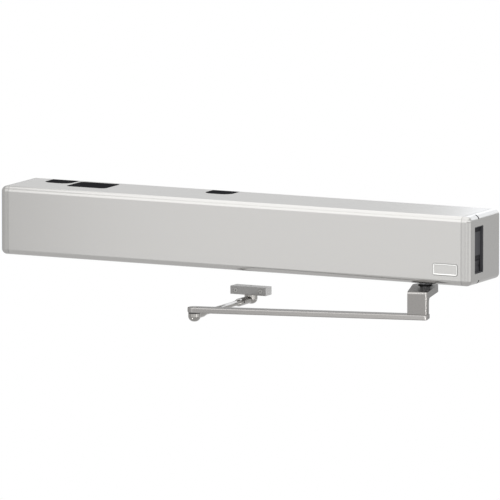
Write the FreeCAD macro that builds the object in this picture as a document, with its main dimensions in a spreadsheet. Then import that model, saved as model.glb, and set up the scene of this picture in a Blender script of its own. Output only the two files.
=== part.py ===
"""Automatic door operator: a covered header box, a cranked main arm and an adjustable forearm.

The origin is the centre of the flat back that lies on the wall. X runs along the header, Y points
into the wall, so the front of the box is at negative Y, and Z points up. Millimetres throughout.
"""
import FreeCAD, Part
import math
import os
import re
import Sketcher

doc = FreeCAD.newDocument("door_operator")
size = doc.addObject("Spreadsheet::Sheet", "size")
named = []


def cell(alias, value, meaning):
    """Write one driving dimension into the sheet under its own name."""
    row = len(named) + 1
    size.set(f"A{row}", meaning)
    size.set(f"B{row}", str(value))
    size.setAlias(f"B{row}", alias)
    named.append(alias)


# Header box and cover
cell("overall_length", 914.4, "length of the box over both end caps")
cell("overall_height", 121.6, "height of the box")
cell("overall_depth", 119.9, "depth of the box from the wall to the front")
cell("corner_radius", 10.15, "outer radius of the long front edges and of the end caps")
cell("cover_wall", 2.5, "thickness of the extruded cover")
cell("seat_gap", 0.3, "clearance between pieces that sit against each other")
cell("running_gap", 0.05, "radial clearance of a shaft in its bore")
cell("press_gap", 0.02, "radial clearance where a piece is pressed on")
cell("notch_width", 53.0, "width of the two cable notches in the top of the cover")
cell("notch_depth", 44.7, "depth of the cable notches from the wall")
cell("notch_radius", 17.0, "corner radius of the cable notches")
cell("left_notch_place", 71.7, "left end of the box to the middle of the left notch")
cell("centre_notch_place", 387.2, "left end of the box to the middle of the centre notch")
cell("access_width", 78.0, "width of the access opening in the top of the cover")
cell("access_depth", 64.2, "depth of the access opening")
cell("access_radius", 9.0, "corner radius of the access opening")
cell("access_place", 143.6, "left end of the box to the middle of the access opening")
cell("access_from_wall", 7.4, "wall to the rear edge of the access opening")
cell("plug_flange", 2.5, "how far a plug reaches under the edge of its opening")
cell("plug_flange_thick", 1.4, "thickness of that flange")
cell("plug_recess", 0.2, "how far the top of a plug lies below the cover")
cell("collar_hole", 14.0, "radius of the hole in the cover round the spindle")
cell("cover_screw_radius", 2.0, "radius of the screws that hold the cover")
cell("cover_screw_head", 3.8, "radius of the heads of the cover screws")

# End caps
cell("cap_width", 16.8, "length of an end cap along the box")
cell("cap_wall", 5.0, "wall thickness of an end cap")
cell("seam_gap", 0.4, "open seam between cover and end cap")
cell("lip_length", 8.0, "length of the lip that plugs into the cover")
cell("window_width", 34.5, "width of the switch window in the right cap")
cell("window_height", 82.0, "height of the switch window")
cell("window_from_front", 38.3, "front of the box to the middle of the window")
cell("window_radius", 2.0, "corner radius of the switch window")
cell("notch_slot", 3.6, "width of the release slots in the edges of the right cap")
cell("snap_width", 12.0, "width of the snap arms inside the caps")
cell("snap_thick", 2.5, "thickness of the snap arms")
cell("snap_hook", 2.2, "depth of the hook on a snap arm")
cell("snap_level", 47.5, "height of the snap arms above the middle of the box")
cell("hook_length", 4.0, "length of the hook on a snap arm")

# Back plate
cell("chassis_wall", 3.0, "thickness of the back plate")
cell("chassis_lip", 14.0, "forward reach of the lips of the back plate")
cell("flange_room", 27.9, "front of the box back to the end flanges of the back plate")
cell("mount_from_end", 57.2, "ends of the box to the wall screws")
cell("mount_from_edge", 25.8, "top and bottom of the box to the wall screws")
cell("mount_hole", 3.5, "radius of the wall screw holes")
cell("cable_hole", 11.1, "radius of the cable entry in the back plate")
cell("cable_from_end", 85.2, "left end of the box to the cable entry")

# Name plate
cell("plate_width", 45.8, "width of the bare name plate")
cell("plate_height", 19.2, "height of the name plate")
cell("plate_thick", 1.2, "thickness of the name plate")
cell("plate_radius", 2.5, "corner radius of the name plate")
cell("plate_from_end", 46.9, "right end of the box to the middle of the name plate")
cell("plate_from_bottom", 27.8, "bottom of the box to the middle of the name plate")

# Switch panel
cell("panel_thick", 4.9, "thickness of the switch panel")
cell("leg_width", 6.0, "width of the legs that rest the panel on the back plate")
cell("leg_height", 10.0, "height of those legs")
cell("panel_overlap", 3.0, "how far the panel reaches past the window on each side")
cell("bezel_wall", 1.2, "thickness of the panel's collar that lines the window")
cell("bezel_sink", 0.6, "how far the collar stays inside the face of the cap")
cell("door_step", 0.5, "how far the small door stands out of the panel")
cell("door_margin", 2.0, "edge of the small door to the edge of the window")
cell("rocker_place", 29.6, "middle of the box down to the rocker switch")
cell("rocker_width", 28.0, "width of the rocker")
cell("rocker_half", 10.0, "half the height of the rocker")
cell("rocker_reach", 8.0, "pivot to the pressed edges of the rocker")
cell("rocker_pin", 1.5, "radius of the pivot pins of the rocker")
cell("rocker_room", 1.2, "room round the rocker in its housing")
cell("housing_wall", 2.6, "wall thickness of the rocker housing")
cell("housing_depth", 13.0, "depth of the rocker housing behind the panel")

# Spindle and gearbox
cell("spindle_from_end", 113.6, "right end of the box to the spindle")
cell("spindle_from_wall", 59.1, "wall to the spindle")
cell("spindle_radius", 8.0, "radius of the spindle in the gearbox")
cell("spindle_neck", 5.8, "radius of the spindle under the box")
cell("seal_radius", 13.4, "radius of the spindle's collar in the hole of the cover")
cell("seal_reach", 2.2, "how far that collar reaches below the cover")
cell("arm_screw_radius", 2.3, "radius of the screw under the hub")
cell("arm_screw_head", 7.5, "radius of the head of that screw")
cell("square_side", 9.0, "side of the square that drives the arm")
cell("gearbox_floor", 8.0, "bottom of the box to the underside of the gearbox")
cell("case_thick", 7.0, "thickness of the gearbox floor")
cell("case_wall", 5.0, "thickness of the rear wall of the gearbox")
cell("lid_thick", 6.0, "thickness of the gearbox lid")
cell("case_left", 112.0, "spindle to the left edge of the gearbox")
cell("case_right", 46.0, "spindle to the right edge of the gearbox")
cell("case_room", 9.4, "front edge of the gearbox to the inside of the cover")
cell("level_gap", 2.5, "axial gap between the gear levels")
cell("rack_height", 12.0, "height of the rack and of its pinion")
cell("large_face", 12.0, "face width of the output gear")
cell("small_face", 8.0, "face width of the idler gear")
cell("pillar_radius", 5.5, "radius of the gearbox pillars")
cell("pillar_inset", 9.0, "edge of the gearbox to the pillar centres")
cell("lid_screw", 2.0, "radius of the screws into the pillars")
cell("edge_screw", 1.5, "radius of the screws into the rear wall of the gearbox")
cell("wall_screw", 2.5, "radius of the screws that hold the gearbox to the back plate")
cell("wall_screw_rise", 12.0, "gearbox floor up to the lower wall screws")
cell("wall_screw_drop", 9.0, "gearbox lid down to the upper wall screws")
cell("bush_wall", 3.0, "wall thickness of the bearing bushes")
cell("bush_flange", 1.5, "thickness of the flange of a bush")

# Gear teeth
cell("output_teeth", 40, "teeth of the output gear")
cell("idler_teeth", 40, "teeth of the idler gear")
cell("pinion_teeth", 12, "teeth of the idler pinion and of the motor pinion")
cell("output_module", 1.75, "module of the output gear")
cell("idler_module", 1.25, "module of the idler gear")
cell("rack_module", 2.5, "module of the rack and of its pinion")
cell("rack_pinion_teeth", 14, "teeth of the pinion that moves the rack")
cell("rack_teeth", 10, "teeth of the rack")
cell("rack_lead", 7, "teeth of the rack to the left of the spindle at rest")
cell("backlash", 0.14, "thinning of each tooth for backlash")
cell("pressure_angle", 25, "pressure angle of every tooth, in degrees")
cell("idler_shaft_radius", 4.0, "radius of the idler shaft")
cell("motor_shaft_radius", 3.0, "radius of the motor shaft")
cell("motor_radius", 22.0, "radius of the motor")
cell("motor_room", 3.1, "top of the motor to the inside of the cover")
cell("motor_flange", 4.0, "thickness of the flange of the motor")
cell("motor_boss", 3.0, "height of the bearing boss on top of the motor")
cell("motor_boss_radius", 9.0, "radius of that boss")

# Encoder
cell("encoder_radius", 18.0, "radius of the encoder disc")
cell("encoder_thick", 1.5, "thickness of the encoder disc")
cell("slot_circle", 15.4, "radius of the circle of slots in the encoder disc")
cell("slot_radius", 1.2, "radius of one slot")
cell("sensor_place", 13.5, "spindle to the near edge of the sensor")
cell("sensor_length", 16.0, "length of the sensor")
cell("sensor_width", 10.0, "width of the sensor")
cell("sensor_reach", 5.0, "how far the sensor reaches over the disc")

# Closer spring
cell("rack_back", 8.5, "thickness of the rack behind its teeth")
cell("guide_length", 32.0, "length of the rack guide")
cell("spigot_length", 12.0, "how far the pull rod reaches into the rack")
cell("pull_rod_radius", 4.0, "radius of the pull rod")
cell("tube_radius", 18.0, "outer radius of the spring tube")
cell("tube_wall", 2.5, "wall thickness of the spring tube")
cell("tube_length", 196.0, "length of the spring tube")
cell("plug_thick", 6.0, "thickness of the flange of the tube plug")
cell("plug_reach", 9.0, "depth of the tube plug in the tube")
cell("piston_length", 10.0, "length of the spring piston")
cell("piston_travel_left", 22.0, "free room behind the piston at rest")
cell("spring_wire", 3.6, "width of the spring wire")
cell("spring_turns", 10, "turns of the closer spring")
cell("saddle_width", 16.0, "length of a saddle along the tube")
cell("saddle_reach", 24.0, "wall to the front of a saddle")
cell("saddle_tall", 28.0, "height of a saddle")

# Main arm
cell("arm_angle", 13.8, "turn of the arm bar away from the wall at rest, in degrees")
cell("hub_drop", 10.6, "bottom of the box to the top of the hub")
cell("hub_radius", 22.5, "radius of the hub eye")
cell("hub_thick", 12.0, "thickness of the hub")
cell("web_front", 91.0, "spindle to the front face of the web")
cell("web_left", 13.0, "spindle to the left edge of the web")
cell("web_thick", 14.0, "thickness of the web")
cell("arm_drop", 59.3, "bottom of the box to the underside of the bar")
cell("bar_height", 9.0, "height of the bar")
cell("bar_width", 24.0, "width of the bar")
cell("bar_step", 4.0, "how far the bar stands in front of the web")
cell("bar_reach", 392.0, "spindle to elbow along the bar")
cell("fold_radius", 3.5, "radius of the outer fold of the arm")
cell("inner_fold", 8.0, "radius between the hub plate and the back of the web")
cell("web_corner", 5.0, "rounding of the right front edge of the web")
cell("bar_corner", 6.0, "rounding of the right end of the bar")
cell("edge_round", 1.6, "rounding of the long edges of the bar")

# Forearm
cell("elbow_gap", 1.7, "thickness of the washer under the bar")
cell("eye_radius", 10.9, "radius of the elbow eye")
cell("eye_height", 14.5, "height of the elbow eye")
cell("eye_dome", 9.4, "rounding under the elbow eye")
cell("pin_head", 1.6, "how far the head of the elbow pin stands out round the pin")
cell("neck_radius", 6.8, "radius of the neck behind the elbow eye")
cell("neck_length", 30.0, "elbow to the end of the neck")
cell("neck_taper", 16.0, "length of the taper from the neck to the rod")
cell("elbow_pin_radius", 4.0, "radius of the elbow pin")
cell("rod_radius", 4.6, "radius of the forearm rod")
cell("rod_drop", 65.2, "bottom of the box to the axis of the forearm")
cell("flare_length", 13.0, "length of the flare of the forearm")
cell("collar_radius", 7.0, "radius of the forearm collar")
cell("collar_length", 18.0, "length of the forearm collar")
cell("joint_seam", 1.0, "seam between collar and socket at rest")
cell("socket_radius", 6.75, "radius of the shoe-side socket")
cell("socket_length", 18.5, "length of the shoe-side socket")
cell("shank_radius", 3.5, "radius of the sliding shank")
cell("shank_length", 28.0, "length of the shank in the collar")
cell("shoe_eye_radius", 11.5, "radius of the eye under the shoe")
cell("shoe_eye_height", 16.4, "height of the eye under the shoe")
cell("shoe_eye_dome", 9.4, "rounding under that eye")
cell("set_screw_radius", 2.0, "radius of the set screw")

# Door shoe
cell("shoe_length", 69.0, "length of the door shoe")
cell("shoe_depth", 24.0, "depth of the door shoe")
cell("shoe_height", 14.4, "height of the door shoe")
cell("shoe_drop", 42.2, "bottom of the box to the top of the shoe")
cell("shoe_hole_span", 47.8, "spacing of the shoe screws")
cell("shoe_hole", 2.6, "radius of the shoe screw holes")
cell("shoe_sink", 4.4, "radius of the countersinks in the shoe")
cell("shoe_round", 0.4, "rounding of the edges of the shoe")
cell("shoe_pin_radius", 3.5, "radius of the shoe pin")

# Electronics
cell("board_from_end", 127.2, "left end of the box to the control board")
cell("board_hole_inset", 6.0, "edges of the board to its screws")
cell("board_length", 190.0, "length of the control board")
cell("board_height", 84.0, "height of the control board")
cell("board_thick", 1.6, "thickness of the control board")
cell("standoff_length", 17.0, "length of the board standoffs")
cell("standoff_radius", 3.2, "radius of the board standoffs")
cell("capacitor_radius", 9.0, "radius of the capacitors")
cell("capacitor_length", 30.0, "length of the capacitors")
cell("capacitor_first", 40.0, "left edge of the board to the first capacitor")
cell("capacitor_pitch", 21.0, "spacing of the capacitors")
cell("capacitor_level", 18.0, "middle of the board up to the capacitors")
cell("sink_place", 112.0, "left edge of the board to the heat sink")
cell("sink_height", 34.0, "height of the heat sink")
cell("sink_reach", 22.0, "depth of the heat sink in front of the board")
cell("sink_base", 4.0, "thickness of the base of the heat sink")
cell("fin_thick", 3.0, "thickness of a fin")
cell("fin_pitch", 8.0, "spacing of the fins")
cell("fin_count", 7, "fins of the heat sink")
cell("relay_place", 112.0, "left edge of the board to the first relay")
cell("relay_pitch", 24.0, "spacing of the relays")
cell("relay_length", 19.0, "length of a relay")
cell("relay_side", 15.5, "width and depth of a relay")
cell("relay_drop", 20.0, "middle of the board down to the relays")
cell("terminal_place", 22.0, "left edge of the board to the first terminal block")
cell("terminal_step", 48.0, "spacing of the terminal blocks")
cell("terminal_pitch", 10.0, "spacing of the ways of a terminal block")
cell("terminal_ways", 4, "ways of a terminal block")
cell("terminal_reach", 11.0, "depth of a terminal block")
cell("terminal_height", 9.0, "height of a terminal block")
cell("terminal_way", 2.2, "radius of a wire opening")
cell("low_row", 38.0, "middle of the board down to the terminal blocks and the fuse")
cell("fuse_place", 120.0, "left edge of the board to the fuse holder")
cell("fuse_length", 22.0, "length of the fuse")
cell("fuse_radius", 3.0, "radius of the fuse")
cell("fuse_end", 4.0, "length of each end of the fuse holder")
cell("holder_reach", 7.0, "depth of the fuse holder")
cell("holder_height", 10.0, "height of the fuse holder")
cell("coil_place", 62.0, "middle of the box to the transformer")
cell("coil_radius", 41.0, "outer radius of the transformer")
cell("coil_bore", 14.0, "inner radius of the transformer")
cell("coil_length", 36.0, "thickness of the transformer")
cell("pad_thick", 2.0, "thickness of the rubber pad under the transformer")
cell("bolt_radius", 3.0, "radius of the transformer bolt")
cell("dish_lip", 8.0, "how far the bolt's dished washer covers the transformer")
cell("bolt_head", 4.0, "height of the head of that bolt")
cell("stud_from_entry", 40.0, "cable entry to the earth stud")
cell("stud_drop", 30.0, "middle of the box down to the earth stud")
cell("stud_radius", 2.5, "radius of the earth stud")
cell("stud_length", 14.0, "length of the earth stud")
cell("stud_nut", 4.0, "height of the nut at its foot")
doc.recompute()


def formula(text):
    """Point every size that the text names at its cell in the sheet."""
    return re.sub(r"[a-z][a-z_0-9]*", lambda word: "size." + word[0] if word[0] in named else word[0], text)


# Places that several pieces share, as formulas over the sheet
BOTTOM = "-overall_height / 2"
SPINDLE_X = "(overall_length / 2 - spindle_from_end)"
SPINDLE_Y = "-spindle_from_wall"
IDLER_X = f"({SPINDLE_X} - (output_teeth + pinion_teeth) * output_module / 2)"
MOTOR_X = f"({IDLER_X} - (idler_teeth + pinion_teeth) * idler_module / 2)"
FLOOR_TOP = "(gearbox_floor + case_thick - overall_height / 2)"
RACK_LEVEL = f"({FLOOR_TOP} + level_gap)"
OUTPUT_LEVEL = f"({RACK_LEVEL} + rack_height + level_gap)"
IDLER_LEVEL = f"({OUTPUT_LEVEL} + large_face + level_gap)"
LID_LEVEL = f"({IDLER_LEVEL} + small_face + level_gap)"
LID_TOP = f"({LID_LEVEL} + lid_thick)"
CASE_LEFT = f"({SPINDLE_X} - case_left)"
CASE_WIDTH = "(case_left + case_right)"
CASE_DEPTH = "(overall_depth - cover_wall - case_room)"
MOTOR_HEIGHT = f"(overall_height / 2 - cover_wall - motor_room - motor_boss - {LID_TOP})"
MOUNT_X = "(overall_length / 2 - mount_from_end)"
MOUNT_Z = "(overall_height / 2 - mount_from_edge)"
ENTRY_X = "(cable_from_end - overall_length / 2)"
FLANGE_REACH = "(overall_depth - flange_room)"
RACK_PITCH_Y = "(rack_pinion_teeth * rack_module / 2 - spindle_from_wall)"
RACK_ROOT_Y = f"({RACK_PITCH_Y} + 1.25 * rack_module)"
ROD_Y = f"({RACK_ROOT_Y} + rack_back / 2)"
ROD_Z = f"({RACK_LEVEL} + rack_height / 2)"
RACK_LEFT = f"({SPINDLE_X} - rack_lead * pi * rack_module)"
TUBE_RIGHT = f"({CASE_LEFT} - plug_thick)"
TUBE_LEFT = f"({TUBE_RIGHT} - tube_length)"
PISTON_X = f"({TUBE_LEFT} + tube_wall + piston_travel_left)"
ELBOW_OUT = "(web_front + bar_step - bar_width / 2)"
ELBOW_X = f"({SPINDLE_X} - bar_reach * cos(arm_angle * 1 deg) + {ELBOW_OUT} * sin(arm_angle * 1 deg))"
ELBOW_Y = f"(-spindle_from_wall - bar_reach * sin(arm_angle * 1 deg) - {ELBOW_OUT} * cos(arm_angle * 1 deg))"
SHOE_Y = "-shoe_depth / 2"
FOREARM_Z = "(-overall_height / 2 - rod_drop)"
CAP_INNER = "(overall_length / 2 - cap_wall)"
PANEL_FACE = "(overall_length / 2 - cap_wall - seat_gap)"
PANEL_BACK = "(overall_length / 2 - cap_wall - seat_gap - panel_thick)"
CHASSIS_END = "(overall_length / 2 - cap_width - lip_length - seat_gap)"
WINDOW_Y = "(window_from_front - overall_depth)"
BOARD_Y = "(-chassis_wall - standoff_length)"
BOARD_FRONT = "(-chassis_wall - standoff_length - board_thick)"

ALONG = {
    "x": FreeCAD.Rotation(FreeCAD.Vector(0, 0, 1), FreeCAD.Vector(1, 0, 0)),
    "y": FreeCAD.Rotation(FreeCAD.Vector(0, 0, 1), FreeCAD.Vector(0, 1, 0)),
    "-y": FreeCAD.Rotation(FreeCAD.Vector(0, 0, 1), FreeCAD.Vector(0, -1, 0)),
    "z": FreeCAD.Rotation(),
    "-z": FreeCAD.Rotation(FreeCAD.Vector(1, 0, 0), 180),
}
sub_parts = []


# Building blocks

def place(item, spot, along="z"):
    """Turn an object so that its own Z runs along the axis, and bind its position to the sheet."""
    item.Placement = FreeCAD.Placement(FreeCAD.Vector(), ALONG[along])
    for axis, text in zip("xyz", spot):
        item.setExpression("Placement.Base." + axis, formula(text))
    return item


def keep(item, label):
    """Name a finished sub-part; the label is also the name of its file."""
    item.Label = label
    sub_parts.append(item)
    doc.recompute()
    return item


def block(extent, spot):
    """A box with its lowest corner at the spot."""
    item = doc.addObject("Part::Box", "block")
    for side, text in zip(("Length", "Width", "Height"), extent):
        item.setExpression(side, formula(text))
    return place(item, spot)


def disc(radius, thick, spot, along="z"):
    """A cylinder that starts at the spot and runs along the axis."""
    item = doc.addObject("Part::Cylinder", "disc")
    item.setExpression("Radius", formula(radius))
    item.setExpression("Height", formula(thick))
    return place(item, spot, along)


def cone(start_radius, end_radius, thick, spot, along="z"):
    """A cone that starts at the spot and runs along the axis."""
    item = doc.addObject("Part::Cone", "cone")
    item.setExpression("Radius1", formula(start_radius))
    item.setExpression("Radius2", formula(end_radius))
    item.setExpression("Height", formula(thick))
    return place(item, spot, along)


def joined(*items):
    """One solid out of touching pieces."""
    item = doc.addObject("Part::MultiFuse", "joined")
    item.Shapes = list(items)
    item.Refine = True
    return item


def group(*items):
    """Separate solids that share a sub-part, such as a set of screws."""
    item = doc.addObject("Part::Compound", "group")
    item.Links = list(items)
    return item


def less(base, *tools):
    """The base with the tools cut out of it."""
    item = doc.addObject("Part::Cut", "less")
    item.Base = base
    item.Tool = tools[0] if len(tools) == 1 else group(*tools)
    return item


def rounded(base, radius, wanted):
    """Round the edges whose middle passes the test."""
    doc.recompute()
    amount = size.get(radius) if isinstance(radius, str) else radius
    item = doc.addObject("Part::Fillet", "rounded")
    item.Base = base
    numbers = [n for n, edge in enumerate(base.Shape.Edges, 1) if wanted(edge)]
    if not numbers:
        raise ValueError("no edge to round on " + base.Name)
    item.Edges = [(n, amount, amount) for n in numbers]
    return item


def runs(edge, axis):
    """Whether a straight edge runs along an axis: 0 for X, 1 for Y, 2 for Z."""
    box = edge.BoundBox
    spans = [box.XLength, box.YLength, box.ZLength]
    return spans[axis] > 0.01 and sum(spans) - spans[axis] < 0.01


def at(value, target):
    """Whether a coordinate lies on a target."""
    return abs(value - target) < 0.01


def new_body(label):
    """A body for one piece made of sketched features."""
    item = doc.addObject("PartDesign::Body", label)
    return item


def sketch_on(body, role, offset="0"):
    """A sketch on one of the body's own origin planes, moved along the plane's normal."""
    plane = next(item for item in body.Origin.OriginFeatures if item.Role == role)
    sketch = body.newObject("Sketcher::SketchObject", "sketch")
    sketch.AttachmentSupport = [(plane, "")]
    sketch.MapMode = "FlatFace"
    sketch.setExpression("AttachmentOffset.Base.z", formula(offset))
    return sketch


def outline(sketch, corners):
    """A closed outline of straight lines whose corners are bound to the sheet."""
    doc.recompute()
    points = [FreeCAD.Vector(sketch.evalExpression(formula(across)), sketch.evalExpression(formula(up)), 0)
              for across, up in corners]
    first = sketch.GeometryCount
    count = len(points)
    for n, point in enumerate(points):
        sketch.addGeometry(Part.LineSegment(point, points[(n + 1) % count]))
    for n in range(count):
        sketch.addConstraint(Sketcher.Constraint("Coincident", first + n, 2, first + (n + 1) % count, 1))
    for n, (across, up) in enumerate(corners):
        for kind, text, value in (("DistanceX", across, points[n].x), ("DistanceY", up, points[n].y)):
            number = sketch.addConstraint(Sketcher.Constraint(kind, -1, 1, first + n, 1, value))
            sketch.setExpression(f"Constraints[{number}]", formula(text))


def ring(sketch, across, up, radius):
    """A circle whose centre and radius are bound to the sheet."""
    doc.recompute()
    values = [sketch.evalExpression(formula(text)) for text in (across, up, radius)]
    centre = FreeCAD.Vector(values[0], values[1], 0)
    circle = sketch.addGeometry(Part.Circle(centre, FreeCAD.Vector(0, 0, 1), values[2]))
    made = (
        (sketch.addConstraint(Sketcher.Constraint("DistanceX", -1, 1, circle, 3, values[0])), across),
        (sketch.addConstraint(Sketcher.Constraint("DistanceY", -1, 1, circle, 3, values[1])), up),
        (sketch.addConstraint(Sketcher.Constraint("Radius", circle, values[2])), radius),
    )
    for number, text in made:
        sketch.setExpression(f"Constraints[{number}]", formula(text))


def pad(body, sketch, length, back=False):
    """Extrude a sketch into the body."""
    item = body.newObject("PartDesign::Pad", "pad")
    item.Profile = sketch
    item.setExpression("Length", formula(length))
    item.Reversed = back
    sketch.Visibility = False
    return item


def pocket(body, sketch, length, back=False):
    """Cut a sketch out of the body."""
    item = body.newObject("PartDesign::Pocket", "pocket")
    item.Profile = sketch
    item.setExpression("Length", formula(length))
    item.Reversed = back
    return item


def soften(body, radius, wanted):
    """Round the body's edges that pass the test."""
    doc.recompute()
    base = body.Tip
    names = [f"Edge{n}" for n, edge in enumerate(base.Shape.Edges, 1) if wanted(edge)]
    if not names:
        raise ValueError("no edge to soften on " + body.Name)
    item = body.newObject("PartDesign::Fillet", "soften")
    item.Base = (base, names)
    item.setExpression("Radius", formula(radius))
    return item


def turned(label, profile, spot, along="z"):
    """A turned piece: corners of its half section as (radius, height), spun about its own Z."""
    body = new_body(label)
    sketch = sketch_on(body, "XZ_Plane")
    outline(sketch, profile)
    item = body.newObject("PartDesign::Revolution", "turn")
    item.Profile = sketch
    item.ReferenceAxis = (sketch, ["V_Axis"])
    item.Angle = 360
    return place(body, spot, along)


def screw(radius, length, head_radius, head_height, spot, along="z"):
    """A plain screw: the head stands on the spot and the shank runs the other way."""
    profile = [("0", f"-({length})"), (radius, f"-({length})"), (radius, "0"), (head_radius, "0"),
               (head_radius, head_height), ("0", head_height)]
    return turned("screw", profile, spot, along)


def bush(bore, length, spot, along="z"):
    """A flanged bearing bush that runs from the spot, with its flange at the far end."""
    outer = f"({bore} + running_gap + bush_wall)"
    profile = [(f"{bore} + running_gap", "0"), (outer, "0"), (outer, length), (f"{outer} + 2", length),
               (f"{outer} + 2", f"{length} + bush_flange"),
               (f"{bore} + running_gap", f"{length} + bush_flange")]
    return turned("bush", profile, spot, along)


# Header box

def make_cover():
    """The extruded cover: front, top and bottom in one U, with its openings."""
    body = new_body("cover_body")
    length = "overall_length - 2 * cap_width"
    sketch = sketch_on(body, "YZ_Plane", "cap_width - overall_length / 2")
    top = "overall_height / 2"
    outline(sketch, [("0", f"-{top}"), ("-overall_depth", f"-{top}"), ("-overall_depth", top), ("0", top),
                     ("0", f"{top} - cover_wall"), ("cover_wall - overall_depth", f"{top} - cover_wall"),
                     ("cover_wall - overall_depth", f"cover_wall - {top}"), ("0", f"cover_wall - {top}")])
    pad(body, sketch, length)
    front = -size.overall_depth
    half = size.overall_height / 2
    inset = half - size.cover_wall
    soften(body, "corner_radius - cover_wall",
           lambda e: runs(e, 0) and at(e.CenterOfMass.y, front + size.cover_wall)
           and at(abs(e.CenterOfMass.z), inset))
    soften(body, "corner_radius",
           lambda e: runs(e, 0) and at(e.CenterOfMass.y, front) and at(abs(e.CenterOfMass.z), half))
    above = (f"{top} - cover_wall - 1", "cover_wall + 2")
    openings = [plug_prism("left_notch_place", "notch", "0", *above),
                plug_prism("centre_notch_place", "notch", "0", *above),
                plug_prism("access_place", "access", "0", *above),
                disc("collar_hole", "cover_wall + 2", (SPINDLE_X, SPINDLE_Y, f"{BOTTOM} - 1"))]
    for n in range(3):
        openings.append(disc("cover_screw_radius + 2 * seat_gap", "cover_wall + 2",
                             (cover_screw_x(n), COVER_SCREW_Y, f"{BOTTOM} - 1")))
    keep(less(body, *openings), "cover")


COVER_SCREW_Y = "-(chassis_lip + chassis_wall) / 2"


def cover_screw_x(number):
    """Where the cover screws stand along the box."""
    return f"({number} - 1) * {MOUNT_X} / 1.2"


def plug_prism(middle, kind, grow, low, tall):
    """The upright prism of a cable notch or of the access opening, grown by a named amount."""
    closed = kind == "access"
    width = f"({kind}_width + 2 * ({grow}))"
    left = f"(-overall_length / 2 + {middle} - {width} / 2)"
    right = f"({left} + {width})"
    rear = f"(-access_from_wall + ({grow}))" if closed else "0"
    near = f"(-access_from_wall - access_depth - ({grow}))" if closed else f"(-notch_depth - ({grow}))"
    body = new_body(kind + "_prism")
    sketch = sketch_on(body, "XY_Plane", low)
    outline(sketch, [(left, near), (right, near), (right, rear), (left, rear)])
    pad(body, sketch, tall)
    doc.recompute()
    front_y = body.evalExpression(formula(near))
    soften(body, f"{kind}_radius + ({grow})",
           lambda e: runs(e, 2) and (closed or at(e.CenterOfMass.y, front_y)))
    return body


def make_plug(label, middle, kind):
    """A black moulded plug: it fills its opening, and a flange reaches under the cover."""
    under = "(overall_height / 2 - cover_wall)"
    low = f"({under} - seat_gap - plug_flange_thick)"
    filler = plug_prism(middle, kind, "-seat_gap", low, f"overall_height / 2 - plug_recess - {low}")
    flange = plug_prism(middle, kind, "plug_flange", low, "plug_flange_thick")
    lip_room = block(("overall_length", "chassis_wall + chassis_lip + seat_gap + 1", "10"),
                     ("-overall_length / 2", "-chassis_wall - chassis_lip - seat_gap", f"{under} - 10"))
    keep(less(joined(filler, flange), lip_room), label)


def make_chassis():
    """The back plate: a shallow channel with lips and forward flanges at both ends."""
    body = new_body("chassis_body")
    sketch = sketch_on(body, "YZ_Plane", f"-{CHASSIS_END}")
    top = "(overall_height / 2 - cover_wall - seat_gap)"
    reach = "-(chassis_wall + chassis_lip)"
    outline(sketch, [("0", f"-{top}"), (reach, f"-{top}"), (reach, f"chassis_wall - {top}"),
                     ("-chassis_wall", f"chassis_wall - {top}"), ("-chassis_wall", f"{top} - chassis_wall"),
                     (reach, f"{top} - chassis_wall"), (reach, top), ("0", top)])
    pad(body, sketch, f"2 * {CHASSIS_END}")
    flange_height = "2 * (snap_level - seat_gap)"
    flanges = [block(("chassis_wall", FLANGE_REACH, flange_height),
                     (spot, f"-{FLANGE_REACH}", "seat_gap - snap_level"))
               for spot in (f"{CHASSIS_END} - chassis_wall", f"-{CHASSIS_END}")]
    holes = [disc("mount_hole", "chassis_wall + 2", (f"{sx} * {MOUNT_X}", "1", f"{sz} * {MOUNT_Z}"), "-y")
             for sx in (-1, 1) for sz in (-1, 1)]
    holes.append(disc("cable_hole", "chassis_wall + 2", (ENTRY_X, "1", "0"), "-y"))
    for n in range(3):
        holes.append(disc("cover_screw_radius + running_gap", "chassis_wall + 2",
                          (cover_screw_x(n), COVER_SCREW_Y, f"{BOTTOM} + cover_wall + seat_gap - 1")))
    keep(less(joined(body, *flanges), *holes), "chassis")


def make_cover_screws():
    """Three pan-head screws that hold the cover to the lower lip of the back plate."""
    screws = [screw("cover_screw_radius", "cover_wall + seat_gap + chassis_wall + 2", "cover_screw_head",
                    "cover_screw_head / 2",
                    (cover_screw_x(n), COVER_SCREW_Y, BOTTOM), "-z") for n in range(3)]
    keep(group(*screws), "cover_screws")


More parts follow.
